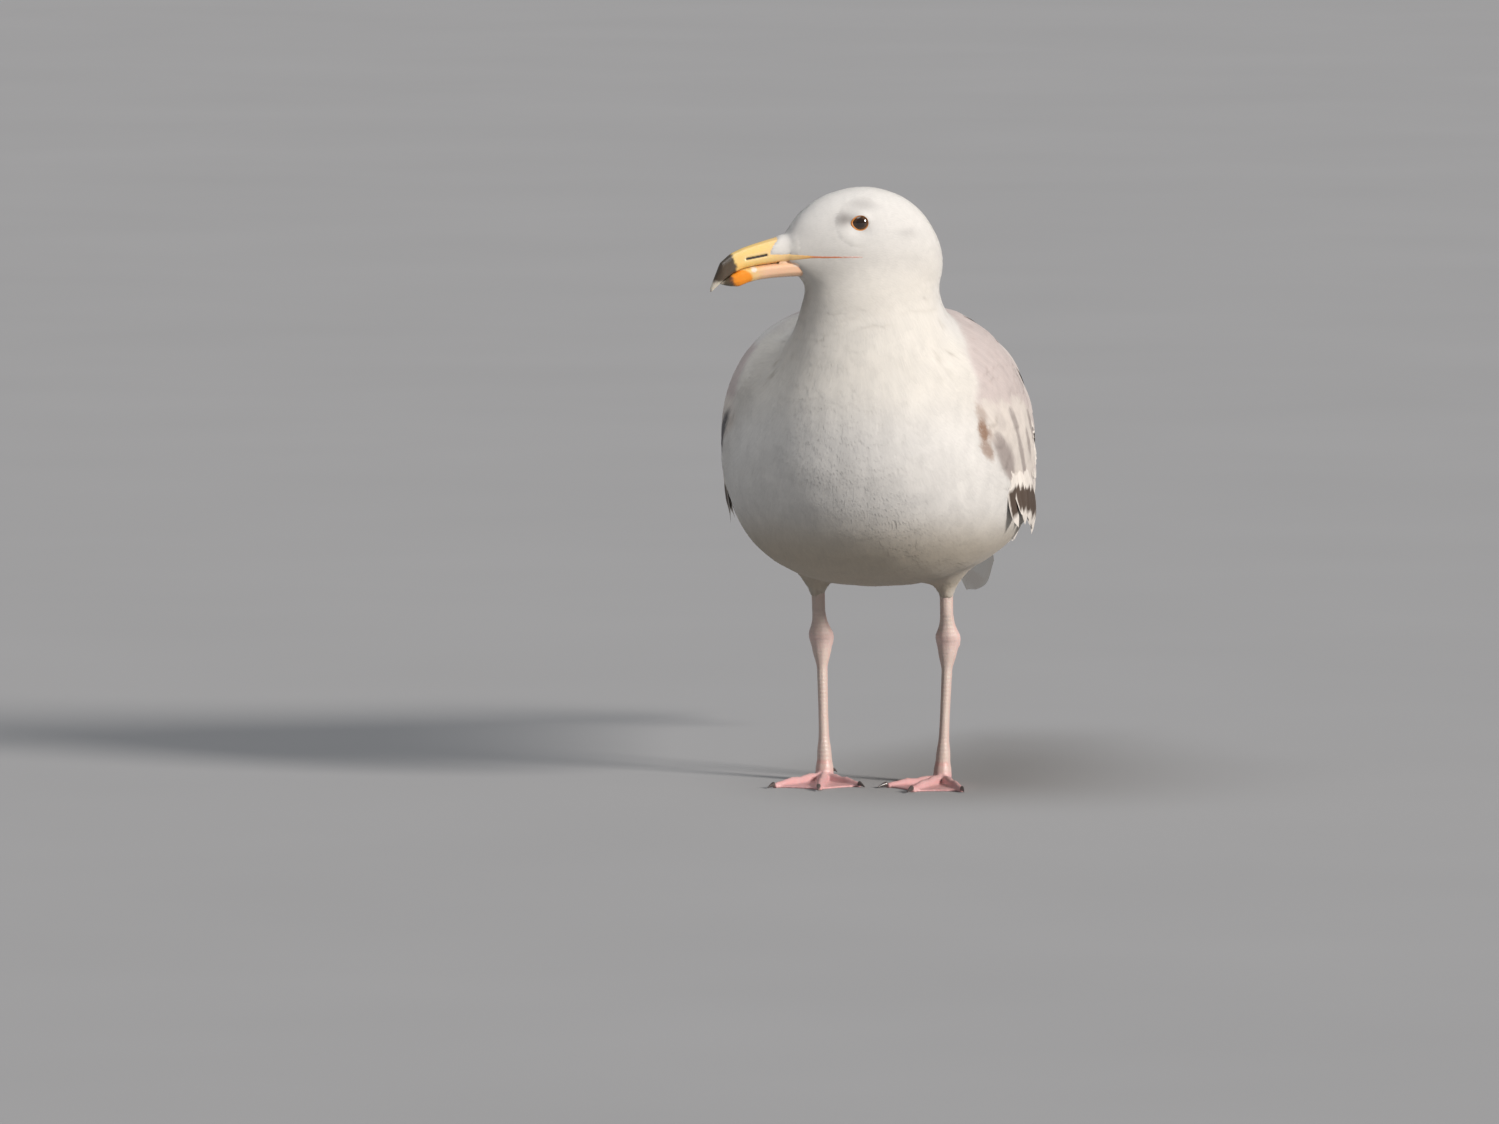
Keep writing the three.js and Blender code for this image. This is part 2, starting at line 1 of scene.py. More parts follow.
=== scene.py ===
# %% [markdown]
# # A herring gull in its last immature plumage A gull has one skin. Everything soft on it grows from that
# skin: short hair-like feathers on the face, loose plumes on breast and belly, firm overlapping vanes on
# back and wings. This lesson builds it in the same order. The construction model gives the size and the
# place of every part. The skin is made from it, then the bare parts (bill, eyes, legs), then the coat from
# small to large feathers, and at last light and camera.

# %% Start from the construction model
import json
import math
import time

import bmesh
import bpy
import numpy as np
from mathutils import Matrix, Vector
from mathutils.noise import noise as mathutils_noise
from mathutils.bvhtree import BVHTree

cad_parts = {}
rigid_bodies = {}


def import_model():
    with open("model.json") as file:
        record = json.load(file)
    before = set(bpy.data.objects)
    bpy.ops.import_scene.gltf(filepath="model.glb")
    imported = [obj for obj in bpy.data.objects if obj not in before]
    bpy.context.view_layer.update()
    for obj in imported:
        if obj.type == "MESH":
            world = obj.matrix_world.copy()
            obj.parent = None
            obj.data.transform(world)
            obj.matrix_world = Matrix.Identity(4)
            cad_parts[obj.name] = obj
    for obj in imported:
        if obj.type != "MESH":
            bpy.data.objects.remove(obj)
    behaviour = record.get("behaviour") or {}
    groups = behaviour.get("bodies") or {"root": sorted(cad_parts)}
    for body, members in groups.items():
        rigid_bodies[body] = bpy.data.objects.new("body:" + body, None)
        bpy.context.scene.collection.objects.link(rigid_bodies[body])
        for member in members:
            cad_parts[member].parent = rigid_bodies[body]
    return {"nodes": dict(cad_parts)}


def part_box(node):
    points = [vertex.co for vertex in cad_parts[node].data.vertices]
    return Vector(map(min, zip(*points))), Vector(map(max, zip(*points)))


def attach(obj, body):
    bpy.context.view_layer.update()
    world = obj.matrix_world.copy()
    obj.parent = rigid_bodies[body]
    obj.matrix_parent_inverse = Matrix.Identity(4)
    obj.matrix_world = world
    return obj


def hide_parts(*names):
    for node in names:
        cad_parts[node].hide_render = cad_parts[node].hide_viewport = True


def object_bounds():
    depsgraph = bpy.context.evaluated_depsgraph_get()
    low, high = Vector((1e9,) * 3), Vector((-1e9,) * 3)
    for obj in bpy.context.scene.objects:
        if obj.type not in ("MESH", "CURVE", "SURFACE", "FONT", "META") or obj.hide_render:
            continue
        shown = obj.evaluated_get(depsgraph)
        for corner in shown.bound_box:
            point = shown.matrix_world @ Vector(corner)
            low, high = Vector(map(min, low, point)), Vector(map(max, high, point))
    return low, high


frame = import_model()
CAD_BOX = [list(corner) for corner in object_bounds()]
MM = 0.001
STARTED = time.time()
SIDES = {"left": 1.0, "right": -1.0}
CLAW_NODES = [f"claw_{toe}_{side}" for toe in ("inner", "middle", "outer", "hind") for side in SIDES]


def say(*words):
    print(f"[{time.time() - STARTED:5.1f} s]", *words)


say("model box in mm", [[round(c / MM, 1) for c in corner] for corner in CAD_BOX])

# %% [markdown]
# The head is turned to the bird's right, so it gets directions of its own. The two eyes lie on its cross
# axis, which is all that is needed: the line between them points left, and straight ahead is square to it.

# %% Directions of the head
def middle(node):
    low, high = (np.array(corner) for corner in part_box(node))
    return (low + high) / 2


UP = np.array([0.0, 0.0, 1.0])
EYES = {side: middle(f"eye_{side}") for side in SIDES}
LEFT = EYES["left"] - EYES["right"]
LEFT /= np.linalg.norm(LEFT)
AHEAD = np.cross(LEFT, UP)
EYE_RADIUS = (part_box("eye_left")[1][2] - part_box("eye_left")[0][2]) / 2
EYE_AHEAD, EYE_ABOVE = 12.8 * MM, 11.8 * MM
HEAD = (EYES["left"] + EYES["right"]) / 2 - EYE_AHEAD * AHEAD - EYE_ABOVE * UP


def in_head(points):
    """Ahead, above and left of the head's middle, in millimetres."""
    away = (np.asarray(points) - HEAD) / MM
    return away @ AHEAD, away @ UP, away @ LEFT


def from_head(ahead, above, left):
    return HEAD + (np.outer(ahead, AHEAD) + np.outer(above, UP) + np.outer(left, LEFT)) * MM


say("head looks towards", AHEAD.round(2), "eye radius in mm", round(EYE_RADIUS / MM, 2))

# %% [markdown]
# Most pieces begin as numbers: an array of points and an array of faces. These helpers turn such arrays into
# objects and back, and keep every finished piece at the origin, with its place in its mesh.

# %% Helpers for meshes
def new_object(name, points, faces):
    mesh = bpy.data.meshes.new(name)
    mesh.from_pydata([tuple(p) for p in points], [], [tuple(f) for f in faces])
    mesh.update()
    made = bpy.data.objects.new(name, mesh)
    bpy.context.scene.collection.objects.link(made)
    return made


def points_of(piece):
    flat = np.empty(len(piece.data.vertices) * 3)
    piece.data.vertices.foreach_get("co", flat)
    return flat.reshape(-1, 3)


def normals_of(piece):
    flat = np.empty(len(piece.data.vertices) * 3)
    piece.data.vertex_normals.foreach_get("vector", flat)
    return flat.reshape(-1, 3)


def move_points(piece, points):
    piece.data.vertices.foreach_set("co", np.asarray(points, dtype=float).ravel())
    piece.data.update()


def edges_of(piece):
    flat = np.empty(len(piece.data.edges) * 2, dtype=np.int32)
    piece.data.edges.foreach_get("vertices", flat)
    return flat.reshape(-1, 2)


def store(piece, name, values, kind="FLOAT"):
    """A named value for every point of the mesh: FLOAT, FLOAT_VECTOR, FLOAT_COLOR or INT."""
    layer = piece.data.attributes.new(name, kind, "POINT")
    values = np.asarray(values, dtype=float)
    if kind == "FLOAT_COLOR":
        values = np.column_stack([values, np.ones(len(values))])
        layer.data.foreach_set("color", values.ravel())
    elif kind == "FLOAT_VECTOR":
        layer.data.foreach_set("vector", values.ravel())
    elif kind == "INT":
        layer.data.foreach_set("value", values.astype(np.int32))
    else:
        layer.data.foreach_set("value", values.ravel())


def smoothed(values, edges, rounds):
    """Each value drawn towards the mean of its neighbours, some rounds long."""
    values = np.asarray(values, dtype=float).copy()
    flat = values.reshape(len(values), -1)
    ends = np.concatenate([edges[:, 0], edges[:, 1]])
    starts = np.concatenate([edges[:, 1], edges[:, 0]])
    count = np.maximum(np.bincount(ends, minlength=len(flat)), 1)
    for _ in range(rounds):
        for column in range(flat.shape[1]):
            total = np.bincount(ends, weights=flat[starts, column], minlength=len(flat))
            flat[:, column] = 0.5 * flat[:, column] + 0.5 * total / count
    return flat.reshape(values.shape)


def unit(vectors):
    length = np.linalg.norm(vectors, axis=-1, keepdims=True)
    return vectors / np.maximum(length, 1e-9)


def step(low, high, value):
    """0 below low, 1 above high and a soft slope between."""
    t = np.clip((np.asarray(value, dtype=float) - low) / (high - low), 0, 1)
    return t * t * (3 - 2 * t)


def mottle(points, size, seed=0.0):
    """Smooth chance between -1 and 1 with lumps of about that size."""
    shift = Vector((seed, -seed, 0.5 * seed))
    return np.array([mathutils_noise(Vector(p) / size + shift) for p in points])


def settle(piece):
    """Runs the piece's modifiers and leaves a plain mesh without them."""
    graph = bpy.context.evaluated_depsgraph_get()
    mesh = bpy.data.meshes.new_from_object(piece.evaluated_get(graph), depsgraph=graph)
    piece.modifiers.clear()
    piece.data = mesh


def smooth_shade(piece):
    piece.data.polygons.foreach_set("use_smooth", [True] * len(piece.data.polygons))


def merged_copy(nodes, name, puff=0.0):
    """One mesh made of copies of CAD nodes, each pushed outwards by puff."""
    work = bmesh.new()
    for node in nodes:
        piece = bmesh.new()
        piece.from_mesh(frame["nodes"][node].data)
        bmesh.ops.remove_doubles(piece, verts=piece.verts, dist=0.5e-5)
        piece.normal_update()
        for vertex in piece.verts:
            vertex.co += vertex.normal * puff
        mesh = bpy.data.meshes.new("part")
        piece.to_mesh(mesh)
        work.from_mesh(mesh)
        piece.free()
        bpy.data.meshes.remove(mesh)
    mesh = bpy.data.meshes.new(name)
    work.to_mesh(mesh)
    work.free()
    made = bpy.data.objects.new(name, mesh)
    bpy.context.scene.collection.objects.link(made)
    return made


def remesh(piece, size):
    """A new even net of quads round everything that the mesh encloses, its biggest shell only."""
    voxels = piece.modifiers.new("voxels", "REMESH")
    voxels.mode = "VOXEL"
    voxels.voxel_size = size
    settle(piece)
    work = bmesh.new()
    work.from_mesh(piece.data)
    work.verts.ensure_lookup_table()
    shell = np.full(len(work.verts), -1)
    shells = 0
    for seed in work.verts:
        if shell[seed.index] >= 0:
            continue
        todo = [seed]
        shell[seed.index] = shells
        while todo:
            for edge in todo.pop().link_edges:
                for vertex in edge.verts:
                    if shell[vertex.index] < 0:
                        shell[vertex.index] = shells
                        todo.append(vertex)
        shells += 1
    sizes = np.bincount(shell)
    keep = sizes > 0.05 * sizes.max()
    bmesh.ops.delete(work, geom=[v for v in work.verts if not keep[shell[v.index]]], context="VERTS")
    work.to_mesh(piece.data)
    work.free()
    piece.data.update()


def rings_mesh(name, rings, closed_ends):
    """A smooth mesh through rings of points; closed_ends puts one face over each end."""
    count = len(rings[0])
    points = np.concatenate(rings)
    faces = []
    for r in range(len(rings) - 1):
        for k in range(count):
            n = (k + 1) % count
            faces.append((r * count + k, r * count + n, (r + 1) * count + n, (r + 1) * count + k))
    if closed_ends:
        for first, order in ((0, -1), ((len(rings) - 1) * count, 1)):
            faces.append(tuple(first + k for k in range(count))[::order])
    piece = new_object(name, points, faces)
    work = bmesh.new()
    work.from_mesh(piece.data)
    bmesh.ops.recalc_face_normals(work, faces=work.faces)
    work.to_mesh(piece.data)
    work.free()
    smooth_shade(piece)
    return piece


# %% [markdown]
# What repeats thousands of times is planted by node trees, and the finishes are node trees as well. All of
# them are built in the script. These helpers add a node, link it and give back its output, so that a tree
# reads like the sum that it works out.

# %% Helpers for node trees
def wire(tree, kind, inputs=None, **settings):
    """Adds a node, sets its options, and links or sets its inputs, given by name or by number."""
    made = tree.nodes.new(kind)
    for key, value in settings.items():
        setattr(made, key, value)
    for key, value in (inputs or {}).items():
        socket = made.inputs[key]
        if isinstance(value, bpy.types.NodeSocket):
            tree.links.new(value, socket)
        else:
            socket.default_value = value
    return made


def named(tree, name, kind="FLOAT"):
    return wire(tree, "GeometryNodeInputNamedAttribute", {"Name": name}, data_type=kind).outputs["Attribute"]


def maths(tree, operation, a, b=0.0):
    return wire(tree, "ShaderNodeMath", {0: a, 1: b}, operation=operation).outputs[0]


def times(tree, a, b):
    return maths(tree, "MULTIPLY", a, b)


def vectors(tree, operation, a, b=(0.0, 0.0, 0.0)):
    return wire(tree, "ShaderNodeVectorMath", {0: a, 1: b}, operation=operation).outputs[0]


def scaled(tree, vector, amount):
    return wire(tree, "ShaderNodeVectorMath", {0: vector, "Scale": amount}, operation="SCALE").outputs[0]


def chance_between(tree, low, high, seed, salt):
    """A random number for each feather; the salt makes draws with one seed differ."""
    mixed = maths(tree, "ADD", seed, float(salt))
    made = wire(tree, "FunctionNodeRandomValue", {2: low, 3: high, "Seed": mixed}, data_type="FLOAT")
    return made.outputs[1]


def keep_value(tree, geometry, name, value, kind="FLOAT", domain="POINT"):
    """Stores a named value on the geometry and gives back the geometry."""
    inputs = {"Geometry": geometry, "Name": name, "Value": value}
    made = wire(tree, "GeometryNodeStoreNamedAttribute", inputs, data_type=kind, domain=domain)
    return made.outputs[0]


def new_tree(name, inputs):
    """A geometry tree with named inputs, given as name: (socket type, value)."""
    tree = bpy.data.node_groups.new(name, "GeometryNodeTree")
    tree.interface.new_socket("Geometry", in_out="INPUT", socket_type="NodeSocketGeometry")
    for label, (kind, value) in inputs.items():
        socket = tree.interface.new_socket(label, in_out="INPUT", socket_type=kind)
        if value is not None:
            socket.default_value = value
    tree.interface.new_socket("Geometry", in_out="OUTPUT", socket_type="NodeSocketGeometry")
    given = tree.nodes.new("NodeGroupInput").outputs
    return tree, given


def set_inputs(modifier, **values):
    """Sets a nodes modifier's inputs by the identifier of the socket with that name."""
    for socket in modifier.node_group.interface.items_tree:
        key = socket.name.replace(" ", "_").lower()
        if getattr(socket, "in_out", "") == "INPUT" and key in values:
            modifier[socket.identifier] = values[key]


# %% Helpers for finishes
def shader(name):
    made = bpy.data.materials.new(name)
    made.use_nodes = True
    tree = made.node_tree
    return made, tree, tree.nodes["Principled BSDF"]


def stored(tree, name, output="Fac"):
    """A value that the piece carries, as a number (Fac) or as a colour (Color)."""
    return wire(tree, "ShaderNodeAttribute", attribute_name=name).outputs[output]


# %% [markdown]
# The skin is one closed surface. Head, neck, trunk, thighs and folded wings are puffed up a little and
# poured together by a voxel remesh, which fills the steps between them. Then the net is smoothed and drawn
# inwards by the puff and by the depth of the coat, so that the feathers bring it back to the bird's real
# outline.

# %% The body's skin
FLESH = ["head", "neck", "trunk"] + [
    f"{part}_{side}"
    for part in ("wing", "tertials", "thigh") for side in SIDES
]
PUFF = 3.5 * MM
SKIN_NET = 2.0 * MM
skin = merged_copy(FLESH, "skin", PUFF)
remesh(skin, SKIN_NET)
net = edges_of(skin)
place = smoothed(points_of(skin), net, 8)
smooth_share = step(-0.035, -0.075, place[:, 2] - HEAD[2]) * step(0.112, 0.126, place[:, 2])
place = place + (smoothed(place, net, 22) - place) * smooth_share[:, None]
say("skin net", len(place), "points")

# %% Where the body's white feathers end on the wing, and the shoulder smoothed over
PLAN = CAD_BOX[0][1] + 0.1194  # the legs' middle, from which lengths along the body are counted
FLOOR = 0.0013


def back_and_up(points):
    """Millimetres behind the legs' middle and above the floor."""
    return (points[:, 1] - PLAN) / MM, (points[:, 2] - FLOOR) / MM


def line(*stops):
    """Straight stretches through a few stops given in millimetres, as a function."""
    at, value = zip(*stops)
    return lambda x: np.interp(x, at, value)


UPPER_FRONT = [(200, -74), (219, -78), (233, -73), (246, -64), (256, -50), (262, -36), (275, -24)]
FRONT_OF_WING = {
    "left": line((140, 20), (150, -8), (164, -38), (177, -60), (186, -69), *UPPER_FRONT),
    "right": line((140, 95), (150, 75), (164, 40), (174, 5), (180, -25), (187, -58), *UPPER_FRONT),
}


def behind_front(points):
    """Millimetres behind the front of the folded wing on the point's own side."""
    back, up = back_and_up(points)
    return back - np.where(points[:, 0] > 0, FRONT_OF_WING["left"](up), FRONT_OF_WING["right"](up))


# %% Lines that run along the folded wing
AXIS = line((-50, 186), (25, 172), (156, 141), (322, 108))
FALL = line((-80, 56), (-40, 52), (0, 44), (60, 30), (120, 18), (160, 11), (300, 8))
MANTLE_EDGE = line((-80, 216), (-20, 214), (20, 200), (60, 182), (110, 164), (156, 150))
WING_EDGE = line(
    (-73, 197), (-60, 186), (-44, 168), (-24, 151), (0, 141), (40, 136), (85, 133), (120, 134), (156, 137),
)
SOFT_END = 2.0  # where the soft shoulder feathers give way to firm ones

back_mm, up_mm = back_and_up(place)
shoulder = step(30, 12, np.abs(behind_front(place))) * step(165, 185, up_mm)
shoulder = shoulder * step(285, 262, up_mm)
eased = smoothed(place, net, 60)
place = place + (eased - place) * smoothed(shoulder, net, 6)[:, None]
move_points(skin, place)
outward = unit(smoothed(normals_of(skin), net, 5))
back_mm, up_mm = back_and_up(place)
say("skin smoothed over the shoulders")

# %% Which part of the body each point of the skin belongs to
def nearest_part(points, parts):
    """For each point, the number of the part whose nodes are nearest."""
    best = np.full(len(points), 1e9)
    found = np.zeros(len(points), dtype=int)
    for number, nodes in enumerate(parts):
        for node in nodes:
            tree = BVHTree.FromPolygons(
                [v.co[:] for v in frame["nodes"][node].data.vertices],
                [p.vertices[:] for p in frame["nodes"][node].data.polygons],
            )
            away = np.array([tree.find_nearest(p)[3] for p in points])
            closer = away < best
            best[closer] = away[closer]
            found[closer] = number
    return found


BODY, HEAD_PART, THIGH, WING = range(4)
PART_NODES = [
    ["neck", "trunk"],
    ["head"],
    ["thigh_left", "thigh_right"],
    ["wing_left", "wing_right", "tertials_left", "tertials_right"],
]
part = nearest_part(place, PART_NODES)
on_head = smoothed(part == HEAD_PART, net, 12)
on_thigh = smoothed(part == THIGH, net, 4)
on_wing = smoothed(part == WING, net, 3)
near_ridge = np.abs(place[:, 0]) < 30 * MM
upper_back = step(238, 246, up_mm) * step(-30, -16, back_mm)
on_wing = np.where(near_ridge, np.maximum(on_wing, upper_back), on_wing)
on_wing = np.where(near_ridge & (back_mm > 0) & (back_mm < 120) & (outward[:, 2] > 0.3), 1, on_wing)
on_wing = on_wing * step(-3, 3, behind_front(place) + 2.5 * mottle(place, 14 * MM))
firm = on_wing > 0.5
say("points on body, head, thighs, wings", np.bincount(part).tolist())

# %% Depth of the coat, and the skin drawn in by it
ahead, above, left = in_head(place)
BILL_ROOT = (44.0, -3.0)


def from_bill_root(ahead, above, left):
    return np.sqrt((ahead - BILL_ROOT[0]) ** 2 + (above - BILL_ROOT[1]) ** 2 + left**2)


from_bill = from_bill_root(ahead, above, left)
coat_depth = 1.6 - 0.8 * on_head - 0.5 * on_head * (1 - step(8, 45, from_bill)) - 0.2 * on_thigh
coat_depth = coat_depth + 1.2 * on_wing * step(SOFT_END - 4, SOFT_END + 30, back_mm)
bare_place = smoothed(place - outward * ((coat_depth * MM) + PUFF)[:, None], net, 2)
pinch = 0.38 * on_thigh * step(0.122, 0.106, bare_place[:, 2])
for side, sign in SIDES.items():
    knee = np.mean(np.array(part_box(f"tibia_{side}")), axis=0)
    near_knee = (bare_place[:, 0] * sign > 0)[:, None] * pinch[:, None] * np.array([1.0, 1.0, 0.0])
    bare_place = bare_place + (knee - bare_place) * near_knee

# %% Sockets for the eyes
EYE_TURN, EYE_TILT = math.radians(16), math.radians(3)
# millimetres from the eye's axis to the brink of the socket and to the outer end of the fine ring
BRINK, RING_END = 11.0, 14.0
EYE_SET_BACK = 1.9  # the ball lies this much deeper, in millimetres, than in the construction model


def eye_axes(sign):
    """Which way an eye looks, and the directions to its front and its top."""
    out = sign * LEFT * math.cos(EYE_TURN) + AHEAD * math.sin(EYE_TURN)
    out = out * math.cos(EYE_TILT) + UP * math.sin(EYE_TILT)
    top = UP - out * (UP @ out)
    top /= np.linalg.norm(top)
    front = AHEAD - out * (AHEAD @ out)
    front /= np.linalg.norm(front)
    return out, front, top


for side, sign in SIDES.items():
    EYES[side] = EYES[side] - eye_axes(sign)[0] * EYE_SET_BACK * MM


def beside_eye(side, sign, points):
    """Millimetres from the eye's axis, and a large number on the far side of the head."""
    out = eye_axes(sign)[0]
    away = points - EYES[side]
    off = np.linalg.norm(away - np.outer(away @ out, out), axis=1) / MM
    return np.where(away @ out > -2 * MM, off, 99.0)


def tree_of(points, piece):
    return BVHTree.FromPolygons([tuple(p) for p in points], [p.vertices[:] for p in piece.data.polygons])


face_tree = tree_of(bare_place, skin)
for side, sign in SIDES.items():
    off = beside_eye(side, sign, bare_place)
    sunk = 1.6 * step(RING_END - 2.2, RING_END - 4.4, off) + 3.0 * step(6.5, 4.5, off)
    bare_place = bare_place - eye_axes(sign)[0] * (sunk * MM)[:, None]
move_points(skin, bare_place)

# %% [markdown]
# Two places need finer skin than the rest: the ring round each eye, and the wedge of feathers that runs
# forward on each side of the bill. Both are laid as small patches over the face and pressed down to it at
# their edges.

# %% Fine skin round the eyes
LID_EDGE = math.radians(32)
LID_SWELL = 1.085  # the lids' outer face, as a share of the ball's radius
CROWN_DROP = 1.4  # millimetres that the face sinks in over the ball
RING_TURNS, RING_ROWS = 72, 13
SLOPE_REACH = 1.5


def front_share(turns, spread):
    """1 towards the bill and 0 elsewhere round the eye."""
    return np.exp(-((np.minimum(turns, 2 * np.pi - turns) / spread) ** 2))


def lid_angle(turns, width):
    """How far from the eye's axis a line on the lids runs; width is in millimetres from their inner edge."""
    corner = 1 + (0.16 + 0.05 * width) * front_share(turns, 0.42) * max(0.0, 1 - 0.18 * width)
    return (LID_EDGE + math.radians(7.2) * width) * corner * (1 - 0.05 * np.sin(turns) ** 2)


def eye_ring(side, sign):
    """An even ring of skin from the bare lids out over the face."""
    out, front, top = eye_axes(sign)
    turns = np.linspace(0, 2 * np.pi, RING_TURNS, endpoint=False)
    bare_width = 0.55 + 0.75 * front_share(turns, 0.9) + 0.25 * np.clip(-np.sin(turns), 0, 1)
    inner = np.array(
        [EYE_RADIUS / MM * math.sin(lid_angle(np.array([t]), w)[0]) for t, w in zip(turns, bare_width)]
    )
    round_axis = np.outer(np.cos(turns), front) + np.outer(np.sin(turns), top)

    def face_level(off, way):
        foot = EYES[side] + way * off * MM
        hit = face_tree.ray_cast(Vector(foot + out * 0.03), Vector(-out), 0.06)[0]
        return (np.array(hit) - foot) @ out / MM

    # the face is rounded over the socket, from a crown on the axis to its own level and slope at the brink
    brink = np.array([face_level(BRINK, way) for way in round_axis])
    slope = np.array([face_level(BRINK + SLOPE_REACH, way) for way in round_axis]) - brink
    slope = np.array([np.mean(np.roll(slope / SLOPE_REACH, 6 - k)[:13]) for k in range(RING_TURNS)])
    crown = float(np.mean(brink - 0.5 * BRINK * slope)) - CROWN_DROP
    across = (brink - np.roll(brink, RING_TURNS // 2)) / (2 * BRINK)

    def filled(k, off):
        t = min(off / BRINK, 1.0)
        inward = (2 * t**3 - 3 * t**2 + 1) * crown + (t**3 - 2 * t**2 + t) * BRINK * across[k]
        return inward + (3 * t**2 - 2 * t**3) * brink[k] + (t**3 - t**2) * BRINK * slope[k]

    radius = LID_SWELL * EYE_RADIUS / MM
    rim = np.sqrt(radius**2 - inner**2)
    levels = {"crown": crown, "rim": float(rim.mean()), "brink": float(brink.mean())}
    say("eye", side, {name: round(level, 2) for name, level in levels.items()})
    rings = []
    for share in np.linspace(0, 1, RING_ROWS) ** 1.15:
        ring = []
        for k, way in enumerate(round_axis):
            off = inner[k] + (RING_END - inner[k]) * share
            lip = rim[k] - filled(k, inner[k])
            level = filled(k, off) + lip * math.exp(-(((off - inner[k]) / 2.6) ** 2))
            level += (face_level(off, way) + 0.08 - level) * float(step(BRINK - 1.0, BRINK + 0.5, off))
            level = max(level, math.sqrt(max((0.965 * radius) ** 2 - off**2, 0)))
            ring.append(
                EYES[side] + way * off * MM + out * (level - 0.3 * float(step(0.95, 1.0, share))) * MM
            )
        rings.append(np.array(ring))
    piece = rings_mesh(f"eye_ring_{side}", rings, False)
    if float(np.mean(normals_of(piece) @ out)) < 0:
        piece.data.flip_normals()
    points, edges = points_of(piece), edges_of(piece)
    row_share = np.repeat(np.linspace(0, 1, RING_ROWS), RING_TURNS)
    calm = (row_share > 0.2) & (row_share < 0.9)
    points[calm] = smoothed(points, edges, 3)[calm]
    move_points(piece, points)
    return piece


# %% Feathered skin on the sides of the bill
LORE_NET = 0.9 * MM
# in millimetres: how far the patch lies above the face, how deep its edge is tucked in, and where it starts
LORE_LIFT, LORE_TUCK, LORE_BACK = 0.12, 0.5, 44.5
LORE_REACH = 8  # and how far away the face is looked for
WEDGE_FRONT = line((-7, 54), (-4.8, 62.0), (-1, 60.5), (2, 58.0), (5, 55.5), (9, 53.5))
WEDGE_LOW = line((37, -6.5), (44, -6.0), (50, -5.6), (62, -5.2))


def lore():
    """A thin patch over the upper bill's base, draped over the front of the face."""
    patch = merged_copy(["bill_upper"], "lore", 0.60 * MM)
    remesh(patch, LORE_NET)
    move_points(patch, smoothed(points_of(patch), edges_of(patch), 3))
    u, v, _ = in_head(points_of(patch))
    kept = (u > LORE_BACK) & (u < WEDGE_FRONT(v)) & (v > WEDGE_LOW(u))
    work = bmesh.new()
    work.from_mesh(patch.data)
    work.verts.ensure_lookup_table()
    bmesh.ops.delete(work, geom=[v for v in work.verts if not kept[v.index]], context="VERTS")
    work.verts.index_update()
    edge = np.array([v.is_boundary for v in work.verts])
    work.to_mesh(patch.data)
    work.free()
    points, edges = points_of(patch), edges_of(patch)
    for _ in range(5):
        facing = unit(smoothed(normals_of(patch), edges, 3))
        for k, (point, way) in enumerate(zip(points, facing)):
            hit = face_tree.ray_cast(Vector(point + way * LORE_REACH * MM), Vector(-way), LORE_REACH * MM)[0]
            if hit is not None:
                points[k] = np.array(hit) + way * LORE_LIFT * MM
        eased = smoothed(points, edges, 3)
        points[~edge] = eased[~edge]
        move_points(patch, points)
    facing = unit(smoothed(normals_of(patch), edges, 2))
    points[edge] -= facing[edge] * LORE_TUCK * MM
    move_points(patch, points)
    return patch


# %% Patches joined to the skin
def join_to_skin(pieces):
    bpy.ops.object.select_all(action="DESELECT")
    for piece in (*pieces, skin):
        piece.select_set(True)
    bpy.context.view_layer.objects.active = skin
    bpy.ops.object.join()


on_body = len(bare_place)
join_to_skin([lore(), *(eye_ring(side, sign) for side, sign in SIDES.items())])
bare_place, net = points_of(skin), edges_of(skin)
on_patch = np.arange(len(bare_place)) >= on_body
round_eyes = np.minimum(*(beside_eye(side, sign, bare_place) for side, sign in SIDES.items()))
on_lore = on_patch & (round_eyes > RING_END + 0.7)


def widened(values, fill):
    """Values of the skin's points with a fixed value for the points of the patches."""
    return np.concatenate([values, np.full(int(on_patch.sum()), fill)])


place = np.vstack([place, bare_place[on_body:]])
outward = unit(smoothed(normals_of(skin), net, 4))
on_head, on_thigh, on_wing = widened(on_head, 1.0), widened(on_thigh, 0.0), widened(on_wing, 0.0)
firm = on_wing > 0.5
back_mm, up_mm = back_and_up(place)
ahead, above, left = in_head(place)
from_bill = from_bill_root(ahead, above, left)
smooth_shade(skin)
say("points on patches", int(on_patch.sum()), "of them beside the bill", int(on_lore.sum()))

# %% [markdown]
# Feathers lie like shingles, from the bill to the tail. On the head they spread out from the bill. On neck
# and breast they run down, and they turn backwards round the belly, as if they swung on a hinge above the
# back. On the folded wing they run back and down along its length. The direction is kept at each point of
# the skin.

# %% The lie of the coat
trunk_low, trunk_high = (np.array(c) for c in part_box("trunk"))
HINGE = np.array([0.0, trunk_low[1] + 0.097, trunk_high[2] + 0.022])


def along_surface(directions, normals):
    return unit(directions - normals * np.sum(directions * normals, axis=1)[:, None])


